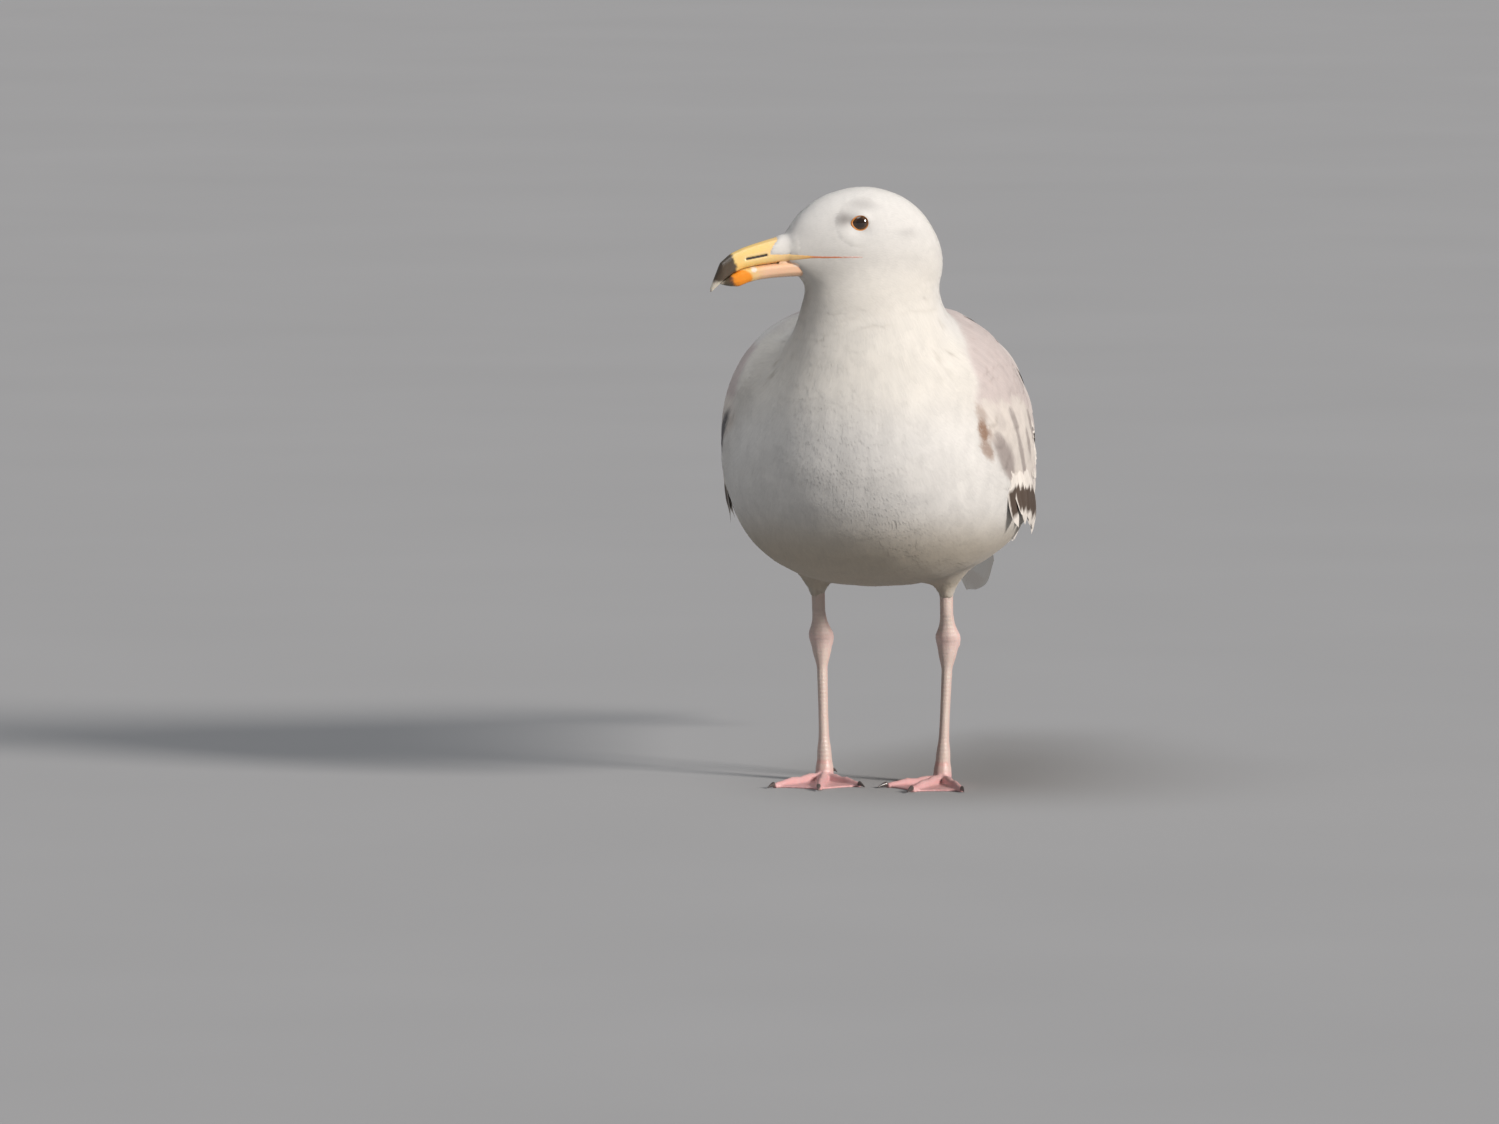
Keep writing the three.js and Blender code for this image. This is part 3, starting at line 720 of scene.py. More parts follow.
arm = bare_place - HINGE
swing = np.clip(np.arctan2(-arm[:, 1], -arm[:, 2]), 0, np.pi / 2)
body_lie = np.column_stack([np.zeros(len(arm)), np.cos(swing), -np.sin(swing)])
bill_point = from_head([72.0], [-4.0], [0.0])[0]
head_lie = unit(bare_place - bill_point) + np.array([0, 0, -1.0]) * step(20, -40, ahead)[:, None] * 1.2
wing_fall = np.radians(FALL(back_mm))
wing_lie = np.column_stack([np.zeros(len(arm)), np.cos(wing_fall), -np.sin(wing_fall)])
height = bare_place[:, 2] - HEAD[2]
head_share = on_head * step(-0.062, -0.020, height)
lie = body_lie * (1 - on_wing)[:, None] + wing_lie * on_wing[:, None]
lie = unit(lie) * (1 - head_share)[:, None] + head_lie * head_share[:, None]
lie = along_surface(smoothed(along_surface(lie, outward), net, 10), outward)
for centre in EYES.values():
    away = bare_place - centre
    round_eye = along_surface(away, outward)
    level_part = away - outward * np.sum(away * outward, axis=1)[:, None]
    near_eye = step(15, 7, np.linalg.norm(level_part, axis=1) / MM)
    near_eye = near_eye * step(25, 15, np.linalg.norm(away, axis=1) / MM)
    inward = np.minimum(np.sum(lie * round_eye, axis=1), 0)
    lie = lie - round_eye * (near_eye * inward)[:, None] + round_eye * (0.35 * near_eye)[:, None]
lie = along_surface(lie, outward)
wander = 0.30 * mottle(bare_place, 15 * MM, 3.0) * (1 - 0.4 * on_head)
lie = unit(lie + np.cross(outward, lie) * wander[:, None])
store(skin, "lie", lie, "FLOAT_VECTOR")
say("lie of the coat set")

# %% [markdown]
# Each tuft later needs a place on an unwrapped skin. The skin's own seams are found by its bends, as a
# furrier would cut a pelt, and the flat pieces share one square.

# %% The skin unwrapped
def unwrap(piece, layer):
    piece.data.uv_layers.new(name=layer)
    bpy.context.view_layer.objects.active = piece
    piece.select_set(True)
    bpy.ops.object.mode_set(mode="EDIT")
    bpy.ops.mesh.select_all(action="SELECT")
    bpy.ops.uv.smart_project(angle_limit=math.radians(66), island_margin=0.002)
    bpy.ops.object.mode_set(mode="OBJECT")
    piece.select_set(False)


unwrap(skin, "pelt")
say("pelt unwrapped")

# %% Finding a place on the pelt
pelt_layer = skin.data.uv_layers["pelt"].data
loop_uv = np.empty(len(pelt_layer) * 2)
pelt_layer.foreach_get("uv", loop_uv)
loop_point = np.empty(len(skin.data.loops), dtype=np.int32)
skin.data.loops.foreach_get("vertex_index", loop_point)
pelt_of_point = np.zeros((len(place), 2))
pelt_of_point[loop_point] = loop_uv.reshape(-1, 2)
skin_points_tree = BVHTree.FromPolygons(
    [tuple(p) for p in bare_place], [p.vertices[:] for p in skin.data.polygons],
)
polygon_first_point = np.array([p.vertices[0] for p in skin.data.polygons])


def pelt_at(point):
    face = skin_points_tree.find_nearest(Vector(point))[2]
    return pelt_of_point[polygon_first_point[face]]


# %% [markdown]
# The colours are decided once, on the skin, and every soft feather takes them from the skin that lies
# under it. So skin and coat always carry the same markings. Each marking is a soft spot or band, sized in
# millimetres.

# %% Markings and painted shade
WHITE = np.array([0.86, 0.845, 0.815])
CREAM = np.array([0.86, 0.81, 0.71])
MANTLE = np.array([0.73, 0.655, 0.625])
DUSKY_MARK_AND_SHADE = np.array([0.30, 0.275, 0.26])


def blend(base, colour, share):
    return base * (1 - share[:, None]) + np.asarray(colour) * share[:, None]


def spot(centre, size, points):
    """1 in the middle of a soft spot and 0 outside it; centre and size in the head's directions."""
    way = [(value - c) / s for value, c, s in zip(in_head(points), centre, size)]
    return np.exp(-(way[0] ** 2 + way[1] ** 2 + way[2] ** 2))


RUFOUS = np.array([0.40, 0.25, 0.17])
PANEL = np.array([0.84, 0.79, 0.735])
BLOTCH = np.array([0.50, 0.44, 0.41])
# grey and rufous middles of single feathers: back, up, half length, half width, fall in degrees, colour,
# strength
BLOTCHES = [
    (-56, 181, 20, 9.0, 52, BLOTCH, 1.0),
    (-31, 182, 15, 3.2, 62, BLOTCH, 0.9),
    (-43, 204, 9, 4.0, 55, BLOTCH, 0.8),
    (-17, 190, 10, 3.6, 56, BLOTCH, 0.8),
    (-2, 198, 13, 4.0, 52, BLOTCH, 0.8),
    (-62, 204, 7, 4.5, 50, BLOTCH, 0.25),
]
SHADE_SLATE = np.array([0.11, 0.10, 0.11])
RUSTY_SPOTS = [
    (-77, 210, 6, 2.6, 70, RUFOUS, 0.45),
    (-76, 200, 6, 2.8, 75, RUFOUS, 0.95),
    (-72, 198, 3, 2.0, 60, RUFOUS, 0.5),
    (-73, 189, 7, 3.0, 48, RUFOUS, 0.7),
]


def blotch(row):
    """1 over an oval on the wing and 0 outside it, with a soft, slightly worn edge: the middle of one
    feather, and once a band of painted shade.
    """
    back, up, long, wide, fall = row[:5]
    c, s = math.cos(math.radians(fall)), math.sin(math.radians(fall))
    along = (back_mm - back) * c - (up_mm - up) * s
    beside = (back_mm - back) * s + (up_mm - up) * c
    away = np.sqrt((along / long) ** 2 + (beside / wide) ** 2)
    return step(1.15, 0.85, away + 0.25 * streaky)


fall_now = math.radians(52)
grain = np.column_stack([
    (back_mm * math.cos(fall_now) - up_mm * math.sin(fall_now)) * 0.22,
    back_mm * math.sin(fall_now) + up_mm * math.cos(fall_now),
    np.sign(place[:, 0]) * 50,
]) * MM
streaky = mottle(grain, 4.5 * MM)
colour = np.tile(WHITE, (len(place), 1))
throat = step(0.060, 0.020, np.abs(height + 0.050)) * step(0.0, -0.5, outward[:, 1]) * (1 - on_wing)
colour = blend(colour, CREAM, 0.35 * throat)
wing_colour = np.tile(PANEL, (len(place), 1)) * (1 + 0.05 * streaky)[:, None]
for row in BLOTCHES:
    wing_colour = blend(wing_colour, row[5], row[6] * blotch(row))
above_edge = up_mm - MANTLE_EDGE(back_mm) + 4.5 * streaky
grey = MANTLE * (1 + 0.07 * streaky + 0.03 * mottle(place, 9 * MM))[:, None]
in_mantle = step(-1.5, 2.0, above_edge)
wing_colour = wing_colour * (1 - in_mantle)[:, None] + grey * in_mantle[:, None]
colour = colour * (1 - on_wing)[:, None] + wing_colour * on_wing[:, None]
behind_breast = step(244, 250, up_mm + 3 * streaky) * step(-24, -38, back_mm) * (place[:, 0] < -20 * MM)
colour = blend(colour, WHITE, on_wing * behind_breast)
# painted shade: a dark band on the visible edge of the right wing stands for its grey feathers in shade
painted_wing_shade = blotch((-54, 191, 24, 5.0, 42, SHADE_SLATE, 1.0)) * (place[:, 0] < -55 * MM)
colour = blend(colour, SHADE_SLATE, 0.9 * painted_wing_shade)
strands = mottle(place * np.array([1.0, 1.0, 0.20]), 4.5 * MM)
on_front = step(0.10, 0.14, place[:, 2]) * step(0.275, 0.25, place[:, 2]) * step(0.1, -0.5, outward[:, 1])
on_front = on_front * (1 - on_wing)
colour = colour * (1 + on_front * (0.07 * strands + 0.03 * mottle(place, 14 * MM)))[:, None]
# painted shade: skin that faces down, low on the body, is darkened and warmed, and the coat takes this
# colour
painted_belly_shade = step(0.0, -0.7, outward[:, 2]) * step(0.165, 0.125, place[:, 2]) * (1 - on_head)
colour = colour * (1 - painted_belly_shade[:, None] * (1 - np.array([0.74, 0.68, 0.58])))
for row in RUSTY_SPOTS:
    colour = blend(colour, row[5], row[6] * blotch(row) * (place[:, 0] > 55 * MM))
# The spots before and above the eye are partly the bird's dusky marks and partly painted shade before the
# eye and under the brow; the two others lie behind the eye and at the bill's base.
for side, sign in SIDES.items():
    colour = blend(colour, DUSKY_MARK_AND_SHADE, 0.75 * spot((23, 14, sign * 19), (5, 4, 9), place))
    colour = blend(colour, DUSKY_MARK_AND_SHADE, 0.30 * spot((12, 22, sign * 18), (9, 3, 9), place))
    colour = blend(colour, DUSKY_MARK_AND_SHADE, 0.22 * spot((-13, 7, sign * 23), (7, 2.5, 8), place))
    colour = blend(colour, DUSKY_MARK_AND_SHADE, 0.25 * spot((44, 8, sign * 6), (5, 4, 8), place))
store(skin, "plumage", colour, "FLOAT_COLOR")

# %% [markdown]
# The bill is horn over bone, smooth and hard. Its shape comes from the construction model, melted together
# into an even net so that its edges are round, and then the nostril is pressed in. Its colours are painted
# on the net by formula: straw yellow, an orange spot low near the tip, a black band and a pale point.

# %% Bill
NOSTRIL = ((63.2, -5.2), (73.8, -7.1))
BILL_NET = 0.42 * MM


def from_line(x, y, start, end):
    """Distance of each (x, y) from a straight line between two points."""
    way = np.array(end) - np.array(start)
    share = np.clip(((x - start[0]) * way[0] + (y - start[1]) * way[1]) / (way @ way), 0, 1)
    return np.hypot(x - start[0] - share * way[0], y - start[1] - share * way[1])


STRAW = (0.80, 0.56, 0.20)
PEACH = (0.80, 0.50, 0.34)
ORANGE = (0.86, 0.28, 0.012)
DARK_HORN = (0.035, 0.030, 0.032)
PALE_HORN = (0.62, 0.57, 0.47)


def bill_piece(node):
    piece = merged_copy([node], node + "_horn", 0.1 * MM)
    remesh(piece, BILL_NET)
    edges = edges_of(piece)
    points = smoothed(points_of(piece), edges, 9)
    move_points(piece, points)
    along, high, side = in_head(points)
    out = unit(smoothed(normals_of(piece), edges, 2))
    paint = np.tile(STRAW, (len(points), 1))
    rough = mottle(points, 3 * MM)
    fine = mottle(points, 1.1 * MM, 7.0)
    if node == "bill_upper":
        gap = from_line(along, high, *NOSTRIL)
        on_flank = np.abs(side) > 1.5
        slit = step(1.0, 0.3, gap) * on_flank
        points = points - out * (slit * 0.9 * MM)[:, None]
        paint = blend(paint, PEACH, 0.35 * step(70, 50, along) + 0.1 * rough)
        paint = blend(paint, PALE_HORN, 0.18 * step(2.6, 1.3, gap) * on_flank)
        paint = blend(paint, (0.85, 0.50, 0.12), 0.6 * step(-7.5, -10.5, high + 0.03 * (along - 60)))
        # painted shade: the pressed-in slit of the nostril is painted near black
        paint = blend(paint, DARK_HORN, step(0.75, 0.45, gap) * on_flank)
        edge = 80.6 + 1.1 * rough + 0.7 * fine + 0.30 * (high + 8)
        paint = blend(paint, DARK_HORN, 0.94 * step(edge - 0.9, edge + 1.2, along))
        point_low = high.min()
        paint = blend(paint, PALE_HORN, step(point_low + 6.8, point_low + 4.2, high + 0.6 * fine))
    else:
        paint = blend(paint, PEACH, 0.9 * step(74, 62, along + 2 * rough))
        gonys = np.sqrt(((along - 76.8) / 6.9) ** 2 + ((high + 18.0) / 5.0) ** 2)
        paint = blend(paint, ORANGE, step(1.05, 0.82, gonys + 0.10 * rough))
        # painted highlight: a pale spot on the lower jaw under the nostril
        painted_highlight = step(2.0, 1.0, np.hypot(along - 69.8, high + 12.9) + 0.3 * fine)
        paint = blend(paint, (0.80, 0.74, 0.66), 0.9 * painted_highlight)
        past_band = step(79.8, 82.6, along + 0.9 * fine - 0.35 * (high + 18))
        paint = blend(paint, DARK_HORN, 0.9 * past_band * step(-0.55, 0.15, fine + 0.6))
        paint = blend(paint, PALE_HORN, 0.9 * step(85.0, 87.0, along + 0.5 * fine))
    move_points(piece, points)
    store(piece, "paint", np.clip(paint, 0, 1), "FLOAT_COLOR")
    smooth_shade(piece)
    piece.data.materials.append(HORN_FINISH)
    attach(piece, "root")
    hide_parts(node)
    say(piece.name, len(points), "points")


def painted_finish(name, rough, gloss, bump, bump_size, distance=0.0002):
    """A finish that takes its colour from the paint on the piece, with fine relief."""
    made, tree, surface = shader(name)
    tree.links.new(stored(tree, "paint", "Color"), surface.inputs["Base Color"])
    surface.inputs["Roughness"].default_value = rough
    surface.inputs["Coat Weight"].default_value = gloss
    surface.inputs["Coat Roughness"].default_value = 0.25
    surface.inputs["Subsurface Weight"].default_value = 0.06
    surface.inputs["Subsurface Scale"].default_value = 0.002
    place_now = wire(tree, "ShaderNodeTexCoord").outputs["Object"]
    grain = wire(tree, "ShaderNodeTexNoise", {"Vector": place_now, "Scale": 1 / bump_size, "Detail": 3.0})
    relief = wire(
        tree, "ShaderNodeBump", {"Height": grain.outputs[0], "Strength": bump, "Distance": distance},
    )
    tree.links.new(relief.outputs[0], surface.inputs["Normal"])
    return made


HORN_FINISH = painted_finish("bill_horn", 0.38, 0.25, 0.35, 0.0012)
BILL_NODES = ("bill_upper", "bill_lower")
for node in BILL_NODES:
    bill_piece(node)

# %% [markdown]
# Between the jaws and along the corner of the mouth runs a bare rim that feathers leave free. It is a thin
# plate with a rounded face. Rays from the side find the face and the horn below it, so it fits on both.

# %% Corner of the mouth
GAPE_HIGH = line(
    (13.5, -6.3), (16, -5.75), (24, -5.7), (34, -5.8), (40, -5.5), (44, -5.1), (50, -4.7), (58, -5.0),
)
GAPE_LOW = line(
    (13.5, -6.5), (16, -6.75), (24, -6.9), (34, -7.0), (40, -7.1), (44, -7.7), (50, -8.7), (58, -10.0),
)
JAW_HIGH = line((45, -10.6), (47.6, -8.9), (49.5, -7.9), (54, -8.9), (60, -12.0))
JAW_LOW = line((45, -12.0), (48, -12.8), (52, -13.0), (60, -13.2))
HORN_TREES = {node: tree_of(points_of(frame["nodes"][node]), frame["nodes"][node]) for node in BILL_NODES}
GAPE_BACK, JAW_BACK = 13.5, 45.0


def side_of_face(ahead_now, above_now, sign):
    """The outermost point of face or horn that is met from the side, and its normal."""
    for nudge in (0.0, 0.5, -0.5, 1.0, -1.0):
        start = from_head([ahead_now], [above_now + nudge], [sign * 60.0])[0]
        rays = [
            tree.ray_cast(Vector(start), Vector(-sign * LEFT), 0.06)
            for tree in (skin_points_tree, *HORN_TREES.values())
        ]
        hits = [ray for ray in rays if ray[0] is not None]
        if hits:
            hit, face, _, _ = min(hits, key=lambda ray: ray[3])
            return np.array(hit) - UP * nudge * MM, np.array(face)
    raise ValueError("no face beside the bill")


def rim_of_jaw(name, sign, high_line, low_line, ends, height, paint_rim):
    """A thin plate of bare rim, laid on the face and on the horn, between two lines seen from the side."""
    rings = []
    across = np.linspace(-1, 1, 11)
    for ahead_now in np.linspace(*ends, 40):
        high, low = high_line(ahead_now), low_line(ahead_now)
        found = [side_of_face(ahead_now, (low + high) / 2 + (high - low) / 2 * t, sign) for t in across]
        widest = max(abs(float(in_head([hit])[2][0])) for hit, _ in found)
        sunk = 0.80 * float(step(ends[0] - 7, ends[0], ahead_now))
        outer, inner = [], []
        for t, (hit, face) in zip(across, found):
            short = max(widest - 1.5 - sunk - abs(float(in_head([hit])[2][0])), 0)
            hit = hit + sign * LEFT * short * MM
            rise = height * (1 - t**4) - 0.10 - sunk
            outer.append(hit + face * rise * MM)
            inner.append(hit + face * (rise - 0.6) * MM)
        rings.append(np.array(outer + inner[::-1]))
    piece = rings_mesh(name, rings, True)
    points = smoothed(points_of(piece), edges_of(piece), 2)
    move_points(piece, points)
    paint = paint_rim(in_head(points)[0], mottle(points, 3 * MM))
    store(piece, "paint", paint, "FLOAT_COLOR")
    piece.data.materials.append(HORN_FINISH)
    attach(piece, "root")


def paint_gape(ahead_now, rough):
    paint = np.tile(STRAW, (len(ahead_now), 1))
    paint = blend(paint, PEACH, 0.35 * step(70, 50, ahead_now) + 0.1 * rough)
    paint = blend(paint, (0.80, 0.44, 0.14), step(48, 41, ahead_now))
    paint = blend(paint, (0.62, 0.22, 0.10), step(42, 38, ahead_now))
    return blend(paint, (0.68, 0.40, 0.34), step(28, 20, ahead_now))


def paint_jaw(ahead_now, rough):
    paint = blend(np.tile(PEACH, (len(ahead_now), 1)), STRAW, 0.10 + 0.05 * rough)
    return blend(paint, (0.86, 0.80, 0.75), 0.5 * step(50, 45, ahead_now + 2 * rough))


# %% [markdown]
# A gull's eye is a ball that fills its socket. What shows is a dark brown iris with a black pupil behind a
# wet cornea, held by lids of bare orange skin. The ball is built round its own axis, which points a little
# forward.

# %% Eyes and lids
IRIS_EDGE, PUPIL_EDGE = math.radians(34), math.radians(19)
BALL_ANGLES = [1, 4, 8, 12, 16, 19, 22, 26, 30, 34, 38, 44, 52, 62, 76, 92, 110, 130, 150, 170, 178]


def eyeball(side, sign):
    out, front, top = eye_axes(sign)
    rings = []
    for angle in [math.radians(a) for a in BALL_ANGLES]:
        bulge = 1.0 + 0.035 * max(0.0, 1 - (angle / IRIS_EDGE) ** 2)
        ring = [
            EYES[side]
            + EYE_RADIUS * bulge * (
                out * math.cos(angle) + math.sin(angle) * (front * math.cos(t) + top * math.sin(t))
            )
            for t in np.linspace(0, 2 * np.pi, 48, endpoint=False)
        ]
        rings.append(np.array(ring))
    piece = rings_mesh(f"eyeball_{side}", rings, True)
    points = points_of(piece) - EYES[side]
    angle = np.arccos(np.clip(unit(points) @ out, -1, 1))
    around = np.arctan2(points @ top, points @ front)
    paint = np.tile((0.022, 0.012, 0.008), (len(points), 1))
    fibres = 0.75 + 0.25 * np.sin(around * 23 + 3 * np.sin(around * 5))
    iris = step(
        PUPIL_EDGE - 0.02, PUPIL_EDGE + 0.05, angle,
    ) * step(IRIS_EDGE + 0.02, IRIS_EDGE - 0.05, angle) * fibres
    paint = blend(paint, (0.085, 0.042, 0.020), iris)
    store(piece, "paint", paint, "FLOAT_COLOR")
    piece.data.materials.append(EYE_FINISH)
    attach(piece, "root")
    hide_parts(f"eye_{side}")


# width in millimetres from the opening, and height above the ball as a share of its radius
LID_PROFILE = [(-0.3, -0.04), (0.0, 0.035), (0.2, 0.075), (0.5, 0.085)]
LID_PROFILE += [(0.9, 0.075), (1.3, 0.06), (1.8, 0.04), (2.3, 0.02)]


def lids(side, sign):
    """A rolled rim of bare skin round the opening, drawn out to a point towards the bill."""
    out, front, top = eye_axes(sign)
    turns = np.linspace(0, 2 * np.pi, RING_TURNS, endpoint=False)
    rings = []
    for width, rise in LID_PROFILE:
        angle = lid_angle(turns, width)
        wrinkle = 1 + 0.004 * np.sin(turns * 19) * (width > 0.1)
        round_axis = np.outer(np.cos(turns), front) + np.outer(np.sin(turns), top)
        direction = np.outer(np.cos(angle), out) + np.sin(angle)[:, None] * round_axis
        rings.append(EYES[side] + direction * (EYE_RADIUS * (1 + rise) * wrinkle)[:, None])
    piece = rings_mesh(f"lids_{side}", rings, False)
    ring_number = np.repeat(np.arange(len(rings)), len(turns)) / (len(rings) - 1)
    paint = np.tile((0.62, 0.23, 0.045), (len(ring_number), 1))
    paint = blend(paint, (0.10, 0.045, 0.02), step(0.16, 0.05, ring_number))
    store(piece, "paint", paint, "FLOAT_COLOR")
    thick = piece.modifiers.new("thick", "SOLIDIFY")
    thick.thickness = 0.3 * MM
    thick.offset = -1
    settle(piece)
    piece.data.materials.append(LID_FINISH)
    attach(piece, "root")


EYE_FINISH = painted_finish("wet_eye", 0.06, 1.0, 0.0, 0.001)
EYE_FINISH.node_tree.nodes["Principled BSDF"].inputs["Coat Roughness"].default_value = 0.02
LID_FINISH = painted_finish("lid_skin", 0.45, 0.2, 0.5, 0.0006)
for side, sign in SIDES.items():
    eyeball(side, sign)
    lids(side, sign)
    rim_of_jaw(f"gape_{side}", sign, GAPE_HIGH, GAPE_LOW, (58.0, GAPE_BACK), 0.36, paint_gape)
    rim_of_jaw(f"jaw_{side}", sign, JAW_HIGH, JAW_LOW, (60.0, JAW_BACK), 0.15, paint_jaw)
say("eyes, lids and corners of the mouth made")

# %% [markdown]
# Legs and feet are bare pink skin over bone. They are melted together from the construction parts like the
# body, on a finer net, and are part of the same skin. Plates run down the front of each leg and along each
# toe, and the web shows fine folds that fan out from the heel.

# %% Legs and feet
LEG_NET = 0.75 * MM
LEG_PINK = (0.56, 0.415, 0.37)
WEB_PINK = (0.62, 0.34, 0.34)
LEG_PALE = (0.60, 0.53, 0.46)
PLATE_PITCH, KNUCKLE_PITCH = 2.3, 2.1  # millimetres from plate to plate on the shin and on the toes


def leg_piece(side, sign):
    nodes = [f"tibia_{side}", f"tarsus_{side}", f"foot_{side}"]
    piece = merged_copy(nodes, f"leg_{side}", 0.25 * MM)
    remesh(piece, LEG_NET)
    edges = edges_of(piece)
    points = smoothed(points_of(piece), edges, 3)
    out = unit(smoothed(normals_of(piece), edges, 1))
    shin_low, shin_high = (np.array(c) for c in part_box(f"tarsus_{side}"))
    shin = (shin_low + shin_high) / 2
    tall = points[:, 2] / MM
    facing = step(0.1, 0.7, -out[:, 1])
    plates = 0.5 + 0.5 * np.cos(2 * np.pi * tall / PLATE_PITCH)
    on_shin = step(9, 14, tall) * step(104, 96, tall)
    ridge = (1 - plates**6) * facing * on_shin
    from_shin = np.hypot(points[:, 0] - shin[0], points[:, 1] - shin[1])
    knuckle = 0.5 + 0.5 * np.cos(2 * np.pi * from_shin / (KNUCKLE_PITCH * MM))
    on_toes = step(3.4, 4.4, tall) * step(12, 9, tall) * step(0.2, 0.8, out[:, 2])
    knob = 0.9 * np.exp(-(((tall - 80) / 4.5) ** 2)) - 0.5 * np.exp(-(((tall - 93) / 7) ** 2))
    knob = knob - 0.4 * np.exp(-(((tall - 66) / 7) ** 2))
    knob = knob - 0.55 * step(16, 26, tall) * step(70, 60, tall)
    points = points + out * (knob * MM)[:, None]
    points[:, 2] += np.maximum(tall - 94, 0) * 2.2 * MM
    points = points + out * ((0.16 * ridge + 0.12 * (1 - knuckle**6) * on_toes) * MM)[:, None]
    points[:, 2] = np.maximum(points[:, 2], 0)
    points[:, 2] = np.where(points[:, 2] < 0.35 * MM, 0, points[:, 2])
    move_points(piece, points)
    cloud = mottle(points, 6 * MM, 3.0 * sign)
    paint = np.tile(LEG_PINK, (len(points), 1))
    paint = blend(paint, LEG_PALE, 0.55 * facing * on_shin + 0.15 * cloud)
    paint = blend(paint, (0.42, 0.28, 0.26), 0.22 * plates**8 * facing * on_shin)
    # painted highlight on the knob of the heel joint
    painted_hock_highlight = np.exp(-(((tall - 79) / 6) ** 2))
    paint = blend(paint, (0.70, 0.50, 0.47), 0.5 * painted_hock_highlight)
    low = step(9, 3, tall)
    web = low * step(4.2, 2.6, tall)
    bearing = np.arctan2(points[:, 0] - shin[0], -(points[:, 1] - shin[1]))
    folds = 0.5 + 0.5 * np.cos(bearing * 70 + 2.5 * cloud)
    paint = blend(paint, WEB_PINK, 0.85 * low)
    paint = blend(paint, (0.55, 0.25, 0.24), 0.35 * web * folds)
    paint = blend(paint, (0.60, 0.28, 0.25), 0.5 * np.exp(-(((tall - 11) / 1.2) ** 2)) * facing)
    store(piece, "paint", np.clip(paint, 0, 1), "FLOAT_COLOR")
    unwrap(piece, "pelt")
    smooth_shade(piece)
    piece.data.materials.append(LEG_FINISH)
    return piece


LEG_FINISH = painted_finish("leg_skin", 0.50, 0.12, 0.6, 0.0009, 0.0003)
LEGS = [leg_piece(side, sign) for side, sign in SIDES.items()]
say("legs made", [len(leg.data.vertices) for leg in LEGS])

# %% Claws
claws = merged_copy(CLAW_NODES, "claws")
rounded = claws.modifiers.new("rounded", "SUBSURF")
rounded.levels = rounded.render_levels = 2
settle(claws)
smooth_shade(claws)
points = points_of(claws)
points[:, 2] = np.maximum(points[:, 2], 0)
move_points(claws, points)
paint = np.tile((0.030, 0.026, 0.026), (len(points), 1))
store(claws, "paint", blend(paint, (0.12, 0.09, 0.08), 0.5 + 0.5 * mottle(points, 2 * MM)), "FLOAT_COLOR")
claws.data.materials.append(painted_finish("claw_horn", 0.3, 0.3, 0.3, 0.0008))
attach(claws, "root")
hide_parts(*CLAW_NODES)

# %% [markdown]
# A body feather is a soft vane whose barbs lie side by side like the teeth of a comb and part near its
# end. What one sees of it are those ends, as fine streaks. So a few shapes are made from narrow barbs, one
# unit long, and thousands of copies overlap like shingles. Short ones serve the face, and loose ones the
# thighs and flanks.

# %% Shapes of feathers
TIP_BEND = 0.22  # how far the rows of a soft feather fall back at its edges, as a share of its length


def soft_feather(name, barbs, width, split, ragged, seed):
    """A feather one unit long: a vane of narrow barbs side by side that part from each other at split.

    rise runs from 0 at the root to 1 at the tip, and ridge is up or down on every second barb line, so that
    the node tree can give the feather its height above the skin and its fine grooves.
    """
    chance = np.random.default_rng(seed)
    points, faces, ridge = [], [], []
    rows = [(0.0, 0.45), (0.55 * split, 0.85), (split, 1.0)]
    for along, full in rows:
        for c in range(barbs + 1):
            across = 2 * c / barbs - 1
            points.append((0.5 * width * full * across, along * (1 - TIP_BEND * across * across), 0.0))
            ridge.append((1.0 if c % 2 else -1.0) * (along > 0) * chance.uniform(0.5, 1.0))
    for r in range(len(rows) - 1):
        for c in range(barbs):
            k = r * (barbs + 1) + c
            faces.append((k, k + 1, k + barbs + 2, k + barbs + 1))
    first = 2 * (barbs + 1)
    for c in range(barbs):
        across = (2 * c + 1) / barbs - 1
        end = (1 - TIP_BEND * across * across) * (1 - chance.uniform(0, ragged) * (1 - split))
        points.append((0.5 * width * 1.04 * across + chance.uniform(-0.3, 0.3) * width / barbs, end, 0.0))
        ridge.append(chance.uniform(-0.4, 0.4))
        faces.append((first + c, first + c + 1, len(points) - 1))
    piece = new_object(name, points, faces)
    layer = piece.data.uv_layers.new(name="vane")
    for loop in piece.data.loops:
        x, y, _ = points[loop.vertex_index]
        layer.data[loop.index].uv = (0.5 + x / width / 1.2, min(max(y, 0), 1))
    store(piece, "rise", [min(max(p[1], 0), 1) for p in points])
    store(piece, "ridge", ridge)
    smooth_shade(piece)
    bpy.context.scene.collection.objects.unlink(piece)
    return piece


def shelf(name, pieces):
    """A collection that the node trees pick their shapes from."""
    made = bpy.data.collections.new(name)
    for piece in pieces:
        made.objects.link(piece)
    return made


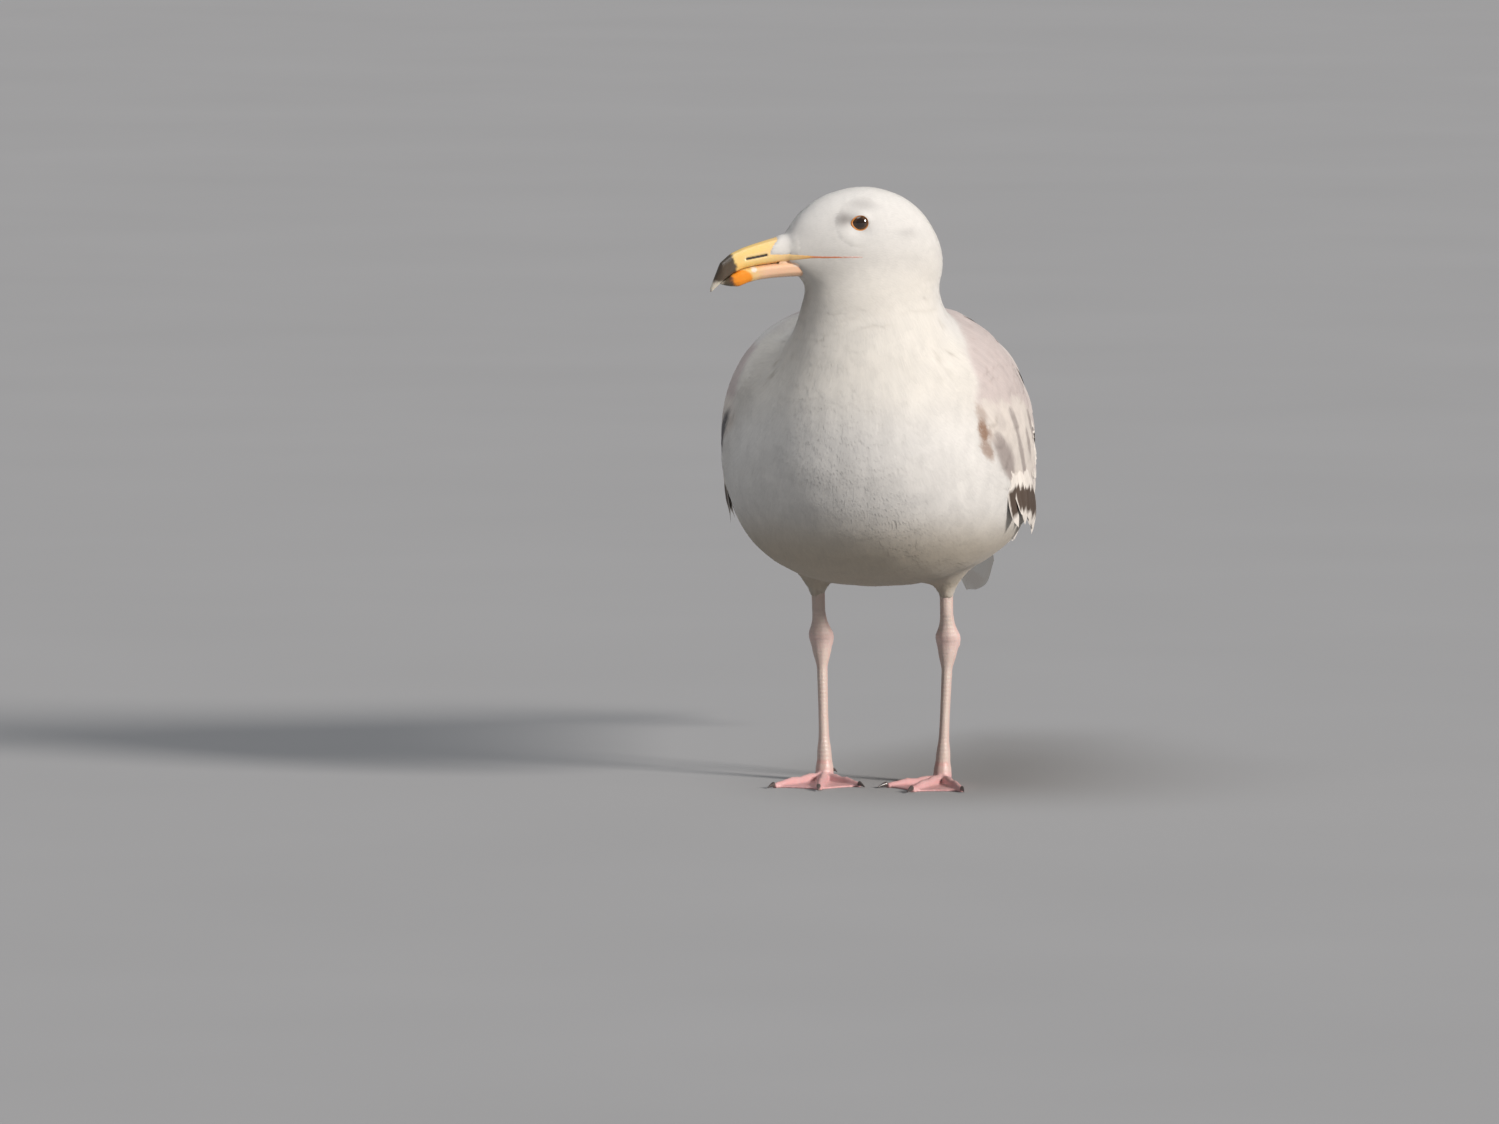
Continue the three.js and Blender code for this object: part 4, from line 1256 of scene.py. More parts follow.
ACROSS = 0.50
SHORT = shelf(
    "short_feathers", [soft_feather(f"short_{n}", 5, ACROSS, 0.72, 0.50, 10 + n) for n in range(5)],
)
BODY_KIND = shelf(
    "body_feathers", [soft_feather(f"body_{n}", 5, ACROSS, 0.86, 0.55, 20 + n) for n in range(6)],
)
LOCKS = shelf("locks", [soft_feather(f"lock_{n}", 3, 0.15, 0.45, 0.50, 60 + n) for n in range(5)])
COVERT = shelf("coverts_soft", [soft_feather(f"covert_{n}", 8, 0.60, 0.84, 0.50, 80 + n) for n in range(5)])
LOOSE = shelf(
    "loose_feathers", [soft_feather(f"loose_{n}", 6, ACROSS, 0.60, 0.60, 40 + n) for n in range(6)],
)
for kind in (SHORT, BODY_KIND, LOCKS, COVERT, LOOSE):
    say(kind.name, "have", len(kind.objects[0].data.polygons), "faces each")

# %% [markdown]
# One Geometry Nodes tree plants the whole coat. It scatters roots over one region of the skin, turns a
# feather at each to the lie of the coat, and realizes them. A flat feather would stick out from a round
# breast, so then every point is brought down to the skin nearest to it and lifted again by the height that
# belongs to its place on the feather. The shading is drawn from the skin's own curve as well, which makes
# the coat look soft.

# %% How both trees of feathers end
PATCH = 0.003


def store_patch(tree, geometry):
    """Writes OFBake: each feather gets a small patch at its root's place on the pelt."""
    centred = vectors(tree, "SUBTRACT", named(tree, "vane", "FLOAT_VECTOR"), (0.5, 0.5, 0.0))
    at_root = vectors(tree, "ADD", scaled(tree, centred, PATCH), named(tree, "pelt", "FLOAT_VECTOR"))
    return keep_value(tree, geometry, "OFBake", at_root, "FLOAT2", "CORNER")


def end_tree(tree, geometry, softness, towards, finish):
    """Softens the shading towards a direction, then adds the map and the finish and closes the tree."""
    own = wire(tree, "GeometryNodeInputNormal").outputs[0]
    soft = wire(tree, "ShaderNodeMix", {0: softness, 4: own, 5: towards}, data_type="VECTOR").outputs[1]
    shaded = wire(tree, "GeometryNodeSetMeshNormal", {"Mesh": geometry}, mode="FREE", domain="POINT")
    tree.links.new(vectors(tree, "NORMALIZE", soft), shaded.inputs["Custom Normal"])
    mapped = store_patch(tree, shaded.outputs[0])
    finished = wire(tree, "GeometryNodeSetMaterial", {"Geometry": mapped, "Material": finish})
    tree.links.new(finished.outputs[0], tree.nodes.new("NodeGroupOutput").inputs[0])


# %% The tree that plants the coat
def coat_tree():
    tree, given = new_tree(
        "plant_coat",
        {
            "Region": ("NodeSocketInt", 0),
            "Feathers": ("NodeSocketCollection", None),
            "Layers": ("NodeSocketFloat", 8.0),
            "Longer": ("NodeSocketFloat", 1.0),
            "Stand": ("NodeSocketFloat", 0.001),
            "Groove": ("NodeSocketFloat", 0.0001),
            "Stray": ("NodeSocketFloat", 0.15),
            "Softness": ("NodeSocketFloat", 0.5),
            "Seed": ("NodeSocketInt", 1),
            "Finish": ("NodeSocketMaterial", None),
        },
    )
    seed = given["Seed"]
    region = named(tree, "region", "INT")
    same = wire(
        tree, "FunctionNodeCompare", {2: region, 3: given["Region"]}, data_type="INT", operation="EQUAL",
    )
    wanted = {"Geometry": given["Geometry"], "Selection": same.outputs[0]}
    bed = wire(tree, "GeometryNodeSeparateGeometry", wanted, domain="FACE")
    feather_area = times(tree, times(tree, given["Longer"], given["Longer"]), 0.8 * ACROSS)
    crowd = maths(tree, "DIVIDE", times(tree, given["Layers"], named(tree, "crowd")), feather_area)
    points = wire(
        tree,
        "GeometryNodeDistributePointsOnFaces",
        {"Mesh": bed.outputs[0], "Density": crowd, "Seed": seed},
        distribute_method="RANDOM",
    )
    facing = wire(
        tree,
        "FunctionNodeAxesToRotation",
        {0: points.outputs["Normal"], 1: named(tree, "lie", "FLOAT_VECTOR")},
        primary_axis="Z",
        secondary_axis="Y",
    )
    turn = times(tree, chance_between(tree, -1.0, 1.0, seed, 4), given["Stray"])
    loose = wire(tree, "ShaderNodeCombineXYZ", {2: turn})
    loosened = wire(
        tree,
        "FunctionNodeRotateRotation",
        {
            0: facing.outputs[0],
            1: wire(tree, "FunctionNodeEulerToRotation", {0: loose.outputs[0]}).outputs[0],
        },
        rotation_space="LOCAL",
    )
    reach = times(tree, named(tree, "reach"), chance_between(tree, 0.8, 1.15, seed, 6))
    long = times(tree, reach, given["Longer"])
    wide = times(tree, long, chance_between(tree, 0.85, 1.2, seed, 7))
    size = wire(tree, "ShaderNodeCombineXYZ", {0: wide, 1: long, 2: long})
    shapes = wire(
        tree,
        "GeometryNodeCollectionInfo",
        {"Collection": given["Feathers"], "Separate Children": True, "Reset Children": True},
    )
    planted = wire(
        tree,
        "GeometryNodeInstanceOnPoints",
        {
            "Points": points.outputs["Points"],
            "Instance": shapes.outputs[0],
            "Pick Instance": True,
            "Rotation": loosened.outputs[0],
            "Scale": size.outputs[0],
        },
    )
    stand = times(tree, given["Stand"], named(tree, "fluff"))
    stand = times(tree, stand, chance_between(tree, 0.75, 1.25, seed, 3))
    chance = chance_between(tree, 0.0, 1.0, seed, 8)
    kept = keep_value(tree, planted.outputs[0], "chance", chance, domain="INSTANCE")
    kept = keep_value(tree, kept, "stand", stand, domain="INSTANCE")
    real = wire(tree, "GeometryNodeRealizeInstances", {"Geometry": kept})

    def from_skin(name, kind):
        """A value of the skin at the place nearest to each point."""
        inputs = {"Mesh": given["Geometry"], "Value": named(tree, name, kind)}
        return wire(tree, "GeometryNodeSampleNearestSurface", inputs, data_type=kind).outputs[0]

    on_skin = wire(tree, "GeometryNodeProximity", {"Geometry": given["Geometry"]}, target_element="FACES")
    skin_out = from_skin("outward", "FLOAT_VECTOR")
    slope = maths(tree, "ADD", times(tree, named(tree, "rise"), 0.9), 0.1)
    height = times(tree, named(tree, "stand"), slope)
    height = maths(tree, "ADD", height, times(tree, named(tree, "ridge"), given["Groove"]))
    lifted = vectors(tree, "ADD", on_skin.outputs["Position"], scaled(tree, skin_out, height))
    laid = wire(tree, "GeometryNodeSetPosition", {"Geometry": real.outputs[0], "Position": lifted})
    kept = keep_value(tree, laid.outputs[0], "skin_out", skin_out, "FLOAT_VECTOR")
    kept = keep_value(tree, kept, "plumage", from_skin("plumage", "FLOAT_COLOR"), "FLOAT_COLOR")
    end_tree(tree, kept, given["Softness"], named(tree, "skin_out", "FLOAT_VECTOR"), given["Finish"])
    return tree


COAT_TREE = coat_tree()
say("tree of the coat has", len(COAT_TREE.nodes), "nodes")

# %% Regions, crowding and length of the coat
REGIONS = ["face_left", "face_right", "neck", "breast_left", "breast_right", "belly_left", "belly_right"]
REGIONS += ["rear", "thighs", "shoulder_left", "shoulder_right", "wings"]
FACE_LEFT, FACE_RIGHT, NECK, BREAST_LEFT, BREAST_RIGHT, BELLY_LEFT, BELLY_RIGHT = range(7)
REAR, THIGHS, SHOULDER_LEFT, SHOULDER_RIGHT, WINGS = range(7, len(REGIONS))
BELLY_TOP, SHOULDER_FOOT, REAR_FRONT = 168, 181, 70  # millimetres up, up and back
NECK_FOOT = -0.085  # metres above the head's middle
on_left = place[:, 0] > 0
low_down = up_mm < BELLY_TOP
region = np.where(on_left, BREAST_LEFT, BREAST_RIGHT)
region = np.where(low_down, np.where(on_left, BELLY_LEFT, BELLY_RIGHT), region)
region[height > NECK_FOOT] = NECK
region[back_mm > REAR_FRONT] = REAR
region[on_head > 0.5] = np.where(left > 0, FACE_LEFT, FACE_RIGHT)[on_head > 0.5]
on_shoulder = firm & (back_mm < SOFT_END)
region[firm & ~on_shoulder] = WINGS
region[on_shoulder] = np.where(on_left, SHOULDER_LEFT, SHOULDER_RIGHT)[on_shoulder]
region[on_thigh > 0.5] = THIGHS
edge_of_bill = step(2, 30, from_bill)
reach = 18.0 - 4.0 * step(-0.12, -0.04, height)
reach = reach * (1 - on_head) + (2.6 + 4.8 * edge_of_bill) * on_head
reach = reach * (1 - 0.2 * on_thigh)
reach = reach * (0.36 + 0.64 * step(5, 17, round_eyes))
reach = smoothed(reach, net, 3) * (1 - 0.2 * on_lore) * MM
fluff = reach / (16 * MM) * (1 + 0.5 * on_thigh)
crowd = 1 / reach**2
crowd = crowd * (on_patch | (round_eyes > RING_END - 0.4))
crowd = crowd * np.where(on_patch & (np.abs(round_eyes - RING_END) < 0.5), 0, 1)
crowd = crowd * np.where(on_shoulder & (up_mm < SHOULDER_FOOT), 0, 1)
ahead_now, above_now, _ = in_head(bare_place)
for high_line, low_line, back_end in ((GAPE_HIGH, GAPE_LOW, GAPE_BACK), (JAW_HIGH, JAW_LOW, JAW_BACK)):
    on_rim = (above_now < high_line(ahead_now) + 0.2) & (above_now > low_line(ahead_now) - 0.1)
    crowd = crowd * np.where(on_rim & (ahead_now > back_end), 0, 1)
for number in np.flatnonzero((ahead_now > 34) & ~on_patch):
    for tree in HORN_TREES.values():
        near, face, _, away = tree.find_nearest(Vector(bare_place[number]))
        inside = (Vector(bare_place[number]) - near).dot(face) < 0 and away < 5 * MM
        if inside or away < 0.5 * MM:
            crowd[number] = 0
store(skin, "region", region, "INT")
store(skin, "reach", reach)
store(skin, "fluff", fluff)
store(skin, "crowd", crowd)
store(skin, "outward", outward, "FLOAT_VECTOR")
say("regions", dict(zip(REGIONS, np.bincount(region).tolist())))


# %% Planting
def drop(piece, *names):
    """Removes named values that a finished piece no longer needs."""
    for name in names:
        if name in piece.data.attributes:
            piece.data.attributes.remove(piece.data.attributes[name])


def plant(name, region_number, feathers, finish, slot, **sizes):
    piece = bpy.data.objects.new(name, skin.data.copy())
    bpy.context.scene.collection.objects.link(piece)
    nodes = piece.modifiers.new("plant", "NODES")
    nodes.node_group = COAT_TREE
    set_inputs(nodes, region=region_number, feathers=feathers, finish=finish, **sizes)
    settle(piece)
    drop(piece, "region", "reach", "fluff", "crowd", "lie", "pelt", "outward", "skin_out", "stand", "rise")
    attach(piece, "root")
    triangles = sum(len(p.vertices) - 2 for p in piece.data.polygons)
    say(name, "has", triangles, "triangles")


# %% [markdown]
# Feathers are matt and a little translucent, and fine barbs catch the light in streaks. The material takes
# the colour that each point of a feather brought from the skin below it. It makes each feather a little
# lighter or darker than its neighbour, and every second barb line a trace lighter, so that the barbs show
# as fine streaks.

# %% Finish of the plumage
def plumage_finish(name):
    made, tree, skin_of_it = shader(name)
    below = stored(tree, "plumage", "Color")
    chance = stored(tree, "chance")
    shade = wire(tree, "ShaderNodeMapRange", {"Value": chance, 3: 0.975, 4: 1.025}).outputs[0]
    streak = times(tree, stored(tree, "ridge"), 0.035)
    tinted = scaled(tree, below, maths(tree, "ADD", shade, streak))
    tree.links.new(tinted, skin_of_it.inputs["Base Color"])
    through = wire(tree, "ShaderNodeBsdfTranslucent", {"Color": tinted})
    blended = wire(tree, "ShaderNodeMixShader", {0: 0.4, 1: skin_of_it.outputs[0], 2: through.outputs[0]})
    tree.links.new(blended.outputs[0], tree.nodes["Material Output"].inputs["Surface"])
    skin_of_it.inputs["Roughness"].default_value = 0.75
    skin_of_it.inputs["Specular IOR Level"].default_value = 0.25
    skin_of_it.inputs["Sheen Weight"].default_value = 0.15
    return made


SOFT_FINISH = plumage_finish("soft_plumage")
skin.data.materials.append(SOFT_FINISH)

# %% The coat
FACE_HABIT = dict(feathers=SHORT, layers=9.0, stand=0.0006, groove=0.00003, stray=0.22, softness=0.75)
BODY_HABIT = dict(feathers=BODY_KIND, layers=16.0, stand=0.0003, groove=0.00008, stray=0.13, softness=0.84)
SHOULDER_HABIT = dict(
    feathers=COVERT, layers=8.0, longer=1.1, stand=0.0004, groove=0.00005, stray=0.14, softness=0.75,
)
LOCK_HABIT = dict(
    feathers=LOCKS, layers=3.2, longer=1.8, stand=0.0005, groove=0.0, stray=0.13, softness=0.92,
)
LOOSE_HABIT = dict(feathers=LOOSE, layers=9.0, stand=0.0010, groove=0.00010, stray=0.24, softness=0.65)
COAT = {
    "coat_face_left": (FACE_LEFT, FACE_HABIT),
    "coat_face_right": (FACE_RIGHT, FACE_HABIT),
    "coat_neck": (NECK, BODY_HABIT),
    "coat_breast_left": (BREAST_LEFT, BODY_HABIT),
    "coat_breast_right": (BREAST_RIGHT, BODY_HABIT),
    "coat_belly_left": (BELLY_LEFT, BODY_HABIT),
    "coat_belly_right": (BELLY_RIGHT, BODY_HABIT),
    "locks_neck": (NECK, LOCK_HABIT),
    "locks_breast_left": (BREAST_LEFT, LOCK_HABIT),
    "locks_breast_right": (BREAST_RIGHT, LOCK_HABIT),
    "coat_shoulder_left": (SHOULDER_LEFT, SHOULDER_HABIT),
    "coat_shoulder_right": (SHOULDER_RIGHT, SHOULDER_HABIT),
    "coat_rear": (REAR, LOOSE_HABIT),
    "coat_thighs": (THIGHS, LOOSE_HABIT),
}
for seed, (name, (number, habit)) in enumerate(COAT.items(), start=1):
    plant(name, number, finish=SOFT_FINISH, slot="white_plumage", seed=seed, **habit)

# %% Legs and body made one skin
join_to_skin(LEGS)
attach(skin, "root")
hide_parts(*FLESH, *[f"{part}_{side}" for part in ("tibia", "tarsus", "foot") for side in SIDES])

# %% [markdown]
# Back, wings and tail carry firm feathers: a shaft with a closed vane on each side. They lie in rows like
# roof tiles. Each shaft is found by walking over the wing's outer face from the feather's root, so it
# bends with the body. A node tree then lays one finely divided vane along every shaft, which makes
# hundreds of them at once.

# %% The vane's shape
def vane_shape(name, columns=6, rows=10, seed=0, blunt=0.5):
    """A flat vane one unit long and two wide: across runs from -1 to 1 and along from 0 to 1."""
    chance = np.random.default_rng(seed)
    points, faces = [], []
    levels = [1 - (1 - r / rows) ** 1.35 for r in range(rows + 1)]
    for along in levels:
        body = min(1.0, 0.35 + 1.8 * along) ** 0.8
        tip = 1.0 if along < 0.5 else max(0.0, 1 - ((along - 0.5) / 0.502) ** (2 + blunt)) ** 0.55
        for c in range(columns + 1):
            across = 2 * c / columns - 1
            ragged = chance.uniform(-0.03, 0.03) * (abs(across) > 0.9)
            points.append(
                (across * body * tip * (1 + ragged), along - 0.05 * abs(across) ** 2 * (along > 0.1), 0)
            )
    for r in range(rows):
        for c in range(columns):
            k = r * (columns + 1) + c
            faces.append((k, k + 1, k + columns + 2, k + columns + 1))
    piece = new_object(name, points, faces)
    layer = piece.data.uv_layers.new(name="vane")
    for loop in piece.data.loops:
        c = loop.vertex_index % (columns + 1)
        layer.data[loop.index].uv = (c / columns, max(0.0, points[loop.vertex_index][1]))
    store(piece, "across", [p[0] for p in points])
    store(piece, "along", [min(max(p[1], 0), 1) for p in points])
    bpy.context.scene.collection.objects.unlink(piece)
    return piece


VANES = shelf("vanes", [vane_shape(f"vane_{n}", seed=30 + n) for n in range(4)])


# %% The tree that lays vanes along shafts
VANE_SOFTNESS = 0.72


def vane_tree():
    tree, given = new_tree(
        "lay_vanes",
        {
            "Vanes": ("NodeSocketCollection", None),
            "Seed": ("NodeSocketInt", 1),
            "Finish": ("NodeSocketMaterial", None),
        },
    )
    shapes = wire(
        tree, "GeometryNodeCollectionInfo", {
            "Collection": given["Vanes"], "Separate Children": True, "Reset Children": True,
        }
    )
    points = wire(tree, "GeometryNodeMeshToPoints", {"Mesh": given["Geometry"]})
    flat = wire(
        tree, "GeometryNodeSetPosition", {"Geometry": points.outputs[0], "Position": (0.0, 0.0, 0.0)},
    )
    laid = wire(
        tree,
        "GeometryNodeInstanceOnPoints",
        {"Points": flat.outputs[0], "Instance": shapes.outputs[0], "Pick Instance": True},
    )
    chance = chance_between(tree, 0.0, 1.0, given["Seed"], 8)
    kept = keep_value(tree, laid.outputs[0], "chance", chance, domain="INSTANCE")
    real = wire(tree, "GeometryNodeRealizeInstances", {"Geometry": kept})
    along, across = named(tree, "along"), named(tree, "across")
    rest = maths(tree, "SUBTRACT", 1.0, along)

    def weighted(vector, *factors):
        amount = factors[0]
        for factor in factors[1:]:
            amount = times(tree, amount, factor)
        return scaled(tree, vector, amount)

    def total(first, *others):
        for vector in others:
            first = vectors(tree, "ADD", first, vector)
        return first

    knots = [named(tree, f"shaft{k}", "FLOAT_VECTOR") for k in range(4)]
    three_rest, two_rest = times(tree, 3.0, rest), times(tree, 2.0, rest)
    shaft = total(
        weighted(knots[0], rest, rest, rest),
        weighted(knots[1], three_rest, rest, along),
        weighted(knots[2], three_rest, along, along),
        weighted(knots[3], along, along, along),
    )
    spans = [vectors(tree, "SUBTRACT", knots[k + 1], knots[k]) for k in range(3)]
    tangent = total(
        weighted(spans[0], rest, rest),
        weighted(spans[1], two_rest, along),
        weighted(spans[2], along, along),
    )
    root_face, tip_face = named(tree, "face0", "FLOAT_VECTOR"), named(tree, "face1", "FLOAT_VECTOR")
    facing = total(weighted(root_face, rest), weighted(tip_face, along))
    sideways = vectors(tree, "NORMALIZE", vectors(tree, "CROSS_PRODUCT", tangent, facing))
    facing = vectors(tree, "NORMALIZE", facing)
    half = named(tree, "half")
    curl = times(tree, named(tree, "bow"), -1.0)
    bow = times(tree, times(tree, across, across), curl)
    lean = times(tree, across, named(tree, "lean"))
    up = maths(tree, "ADD", bow, lean)
    shape = total(shaft, weighted(sideways, across, half), weighted(facing, up, half))
    placed = wire(tree, "GeometryNodeSetPosition", {"Geometry": real.outputs[0], "Position": shape})
    end_tree(tree, placed.outputs[0], VANE_SOFTNESS, facing, given["Finish"])
    return tree


VANE_TREE = vane_tree()
say("tree of the vanes has", len(VANE_TREE.nodes), "nodes")


# %% Walking a shaft over the wing
RAY = 0.2  # metres, from well outside the bird to its middle
LEAVES_FACE = 3 * MM  # further than this from the face, or over a sharp edge, a shaft runs on straight


class Ground:
    """The outer face of some construction parts, to walk feathers over."""

    def __init__(self, nodes, net=1.6 * MM, puff=2.5 * MM, rounds=14):
        piece = merged_copy(nodes, "ground", puff)
        remesh(piece, net)
        edges = edges_of(piece)
        points = smoothed(points_of(piece), edges, rounds)
        move_points(piece, points)
        points = smoothed(points - unit(smoothed(normals_of(piece), edges, 4)) * puff, edges, 4)
        self.tree = BVHTree.FromPolygons(
            [tuple(p) for p in points], [p.vertices[:] for p in piece.data.polygons],
        )
        bpy.data.objects.remove(piece)

    def from_axis(self, y, z, angle, sign):
        """The outermost point met from outside at an angle above level, round the axis through (y, z)."""
        way = Vector((sign * math.cos(angle), 0, math.sin(angle)))
        start = Vector((0, y, z)) + way * RAY
        return self.tree.ray_cast(start, -way, RAY)[:2]

    def from_side(self, y, z, sign):
        return self.tree.ray_cast(Vector((sign * RAY, y, z)), Vector((-sign, 0, 0)), RAY)[:2]

    def walk(self, start, normal, direction, length, steps=9):
        """Points and normals of a shaft that starts at a point and keeps its course over the face."""
        points, normals = [start.copy()], [normal.copy()]
        course = (direction - normal * direction.dot(normal)).normalized()
        free = False
        for _ in range(steps):
            reached = points[-1] + course * (length / steps)
            if not free:
                near, face, _, away = self.tree.find_nearest(reached)
                if face.dot(normals[-1]) < 0.85 or away > LEAVES_FACE:
                    free = True
                else:
                    reached, normals_now = near, face
            if free:
                normals_now = normals[-1]
            course = reached - points[-1]
            course = (course - normals_now * course.dot(normals_now)).normalized()
            points.append(reached)
            normals.append(normals_now)
        return points, normals

    def trail(self, start, end, sign, steps=9):
        """Points and normals of a shaft whose ends are given as (back, angle) round the body's axis."""
        points, normals = [], []
        for k in range(steps + 1):
            back, angle = (a + (b - a) * k / steps for a, b in zip(start, end))
            hit, normal = self.from_axis(
                PLAN + back * MM, FLOOR + AXIS(back) * MM, math.radians(angle), sign,
            )
            if hit is None and len(points) > 1:
                hit, normal = points[-1] * 2 - points[-2], normals[-1]
            if hit is not None:
                points.append(hit)
                normals.append(normal)
        return points, normals


# %% A bundle of feathers laid at once
class Bundle:
    """Collects feathers, then lays them as one piece."""

    def __init__(self, name, slot):
        self.name, self.slot = name, slot
        self.rows = {}

    def add(self, points, normals, width, look, root_depth=2.4, tip_depth=0.4, bow=0.16, lean=0.0):
        """One feather along a walked shaft. Depths are millimetres below the construction face."""
        last = len(points) - 1
        samples, faces = [], []
        for share in (0, 1 / 3, 2 / 3, 1):
            k = share * last
            low = min(int(k), last - 1)
            part_way = k - low
            point = points[low].lerp(points[low + 1], part_way)
            face = normals[low].lerp(normals[low + 1], part_way).normalized()
            depth = root_depth + (tip_depth - root_depth) * share
            samples.append(np.array(point - face * (depth * MM)))
            faces.append(np.array(face))
        q0, q1, q2, q3 = samples
        knots = [q0, (-5 * q0 + 18 * q1 - 9 * q2 + 2 * q3) / 6, (2 * q0 - 9 * q1 + 18 * q2 - 5 * q3) / 6, q3]
        row = {f"shaft{k}": knots[k] for k in range(4)}
        row.update(face0=faces[0], face1=faces[3], half=width / 2, bow=bow, lean=lean)
        row["pelt"] = np.array([*pelt_at(q0), 0.0])
        row.update(look)
        for key, value in row.items():
            self.rows.setdefault(key, []).append(value)

    def lay(self, finish, seed):
        count = len(self.rows["half"])
        piece = new_object(self.name, np.zeros((count, 3)) + np.arange(count)[:, None] * 1e-4, [])
        for key, values in self.rows.items():
            values = np.array(values, dtype=float)
            if key in ("ground", "fringe", "band"):
                store(piece, key, values, "FLOAT_COLOR")
            else:
                store(piece, key, values, "FLOAT_VECTOR" if values.ndim == 2 else "FLOAT")
        nodes = piece.modifiers.new("lay", "NODES")
        nodes.node_group = VANE_TREE
        set_inputs(nodes, vanes=VANES, seed=seed, finish=finish)
        settle(piece)
        for key in [
            k
            for k in self.rows if k.startswith(("shaft", "face")) or k in ("half", "bow", "lean", "pelt")
        ]:
            piece.data.attributes.remove(piece.data.attributes[key])
        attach(piece, "root")
        say(self.name, count, "feathers", len(piece.data.polygons) * 2, "triangles")
        return piece


def look(ground, fringe, edge, end, band, band_from, streak):
    """Colours of one feather: its ground, its pale fringe with widths at edge and end, and a dark band.

    The band covers the feather from its tip as far as band_from, and colours the streak along the shaft.
    """
    return dict(
        ground=ground, fringe=fringe, edge=edge, end=end, band=band, band_from=band_from, streak=streak,
    )


NO_BAND = 2.0


# %% Finish of the firm feathers
def vane_finish(name):
    made, tree, surface = shader(name)
    vane = wire(tree, "ShaderNodeUVMap", uv_map="vane").outputs[0]
    split = wire(tree, "ShaderNodeSeparateXYZ", {0: vane})
    across, along = split.outputs[0], split.outputs[1]
    from_shaft = maths(tree, "ABSOLUTE", maths(tree, "SUBTRACT", times(tree, across, 2.0), 1.0))
    chance = stored(tree, "chance")
    place_now = wire(tree, "ShaderNodeTexCoord").outputs["Object"]
    worn = wire(tree, "ShaderNodeTexNoise", {"Vector": place_now, "Scale": 260.0, "Detail": 3.0}).outputs[0]
    worn = times(tree, maths(tree, "SUBTRACT", worn, 0.5), 0.22)
    slant = maths(tree, "ADD", times(tree, along, 150.0), times(tree, from_shaft, -45.0))
    barbs = maths(tree, "SINE", slant)
    inner = maths(tree, "SUBTRACT", 1.0, from_shaft)
    at_edge = soft_step(tree, maths(tree, "ADD", inner, worn), stored(tree, "edge"), 0.22)
    to_tip = maths(tree, "SUBTRACT", 1.0, along)
    worn_tip = maths(tree, "ADD", to_tip, times(tree, worn, 0.35))
    at_tip = soft_step(tree, worn_tip, stored(tree, "end"), 0.08)
    fringe = maths(tree, "MAXIMUM", at_edge, at_tip)
    worn_band = maths(tree, "ADD", to_tip, times(tree, worn, 0.5))
    band_from = stored(tree, "band_from")
    banded = soft_step(tree, worn_band, band_from, 0.06)
    banded = times(tree, banded, maths(tree, "LESS_THAN", band_from, NO_BAND - 0.5))
    band = stored(tree, "band", "Color")
    ground = mix(tree, banded, stored(tree, "ground", "Color"), band)
    shaft = times(tree, soft_step(tree, from_shaft, 0.05, 0.06), stored(tree, "streak"))
    ground = mix(tree, shaft, ground, band)
    colour = mix(tree, fringe, ground, stored(tree, "fringe", "Color"))
    shade = wire(tree, "ShaderNodeMapRange", {"Value": chance, 3: 0.90, 4: 1.07}).outputs[0]
    shade = maths(tree, "ADD", shade, times(tree, barbs, 0.02))
    tree.links.new(scaled(tree, colour, shade), surface.inputs["Base Color"])
    relief = wire(tree, "ShaderNodeBump", {"Height": barbs, "Strength": 0.25, "Distance": 0.0001})
    tree.links.new(relief.outputs[0], surface.inputs["Normal"])
    surface.inputs["Roughness"].default_value = 0.55
    surface.inputs["Specular IOR Level"].default_value = 0.3
    return made


def soft_step(tree, value, edge, softness):
    """1 where the value is under the edge, falling to 0 over the softness."""
    away = maths(tree, "DIVIDE", maths(tree, "SUBTRACT", value, edge), softness)
    return wire(tree, "ShaderNodeMapRange", {"Value": away, 1: 0.0, 2: 1.0, 3: 1.0, 4: 0.0}).outputs[0]


def mix(tree, share, a, b):
    made = wire(tree, "ShaderNodeMix", {0: share, 6: a, 7: b}, data_type="RGBA")
    return made.outputs[2]


VANE_FINISH = vane_finish("firm_feathers")

# %% Feathers of one wing
def course(y, sign, splay=0.0):
    fall = math.radians(FALL(y))
    return Vector((sign * splay, math.cos(fall), -math.sin(fall)))


def tone(colour, chance, spread=0.06):
    return np.clip(np.array(colour) * (1 + chance.uniform(-spread, spread)), 0, 1)


GREY = (0.545, 0.49, 0.46)
GREY_FRINGE = (0.585, 0.53, 0.495)
WORN_WHITE = (0.73, 0.68, 0.62)
BROWN_GREY = (0.41, 0.36, 0.33)
DARK_BROWN = (0.085, 0.060, 0.045)
BLACKISH = (0.045, 0.036, 0.032)
PRIMARIES, SECONDARIES, HANGING_TIPS, TERTIALS, MANTLE_ROWS = 7, 15, 9, 6, 21
# rows of coverts: millimetres below the mantle's edge, length, width, colour, share of the width that is
# pale
COVERT_ROWS = [
    (66, 38, 16, BROWN_GREY, 0.20),
    (48, 40, 17, GREY, 0.24),
    (32, 30, 13, GREY, 0.42),
    (17, 26, 12, GREY, 0.52),
    (4, 22, 12, GREY, 0.30),
]


def mantle_look(chance):
    return look(
        tone(GREY, chance), tone(GREY_FRINGE, chance), 0.13, 0.07, tone(BROWN_GREY, chance), NO_BAND, 0.25,
    )


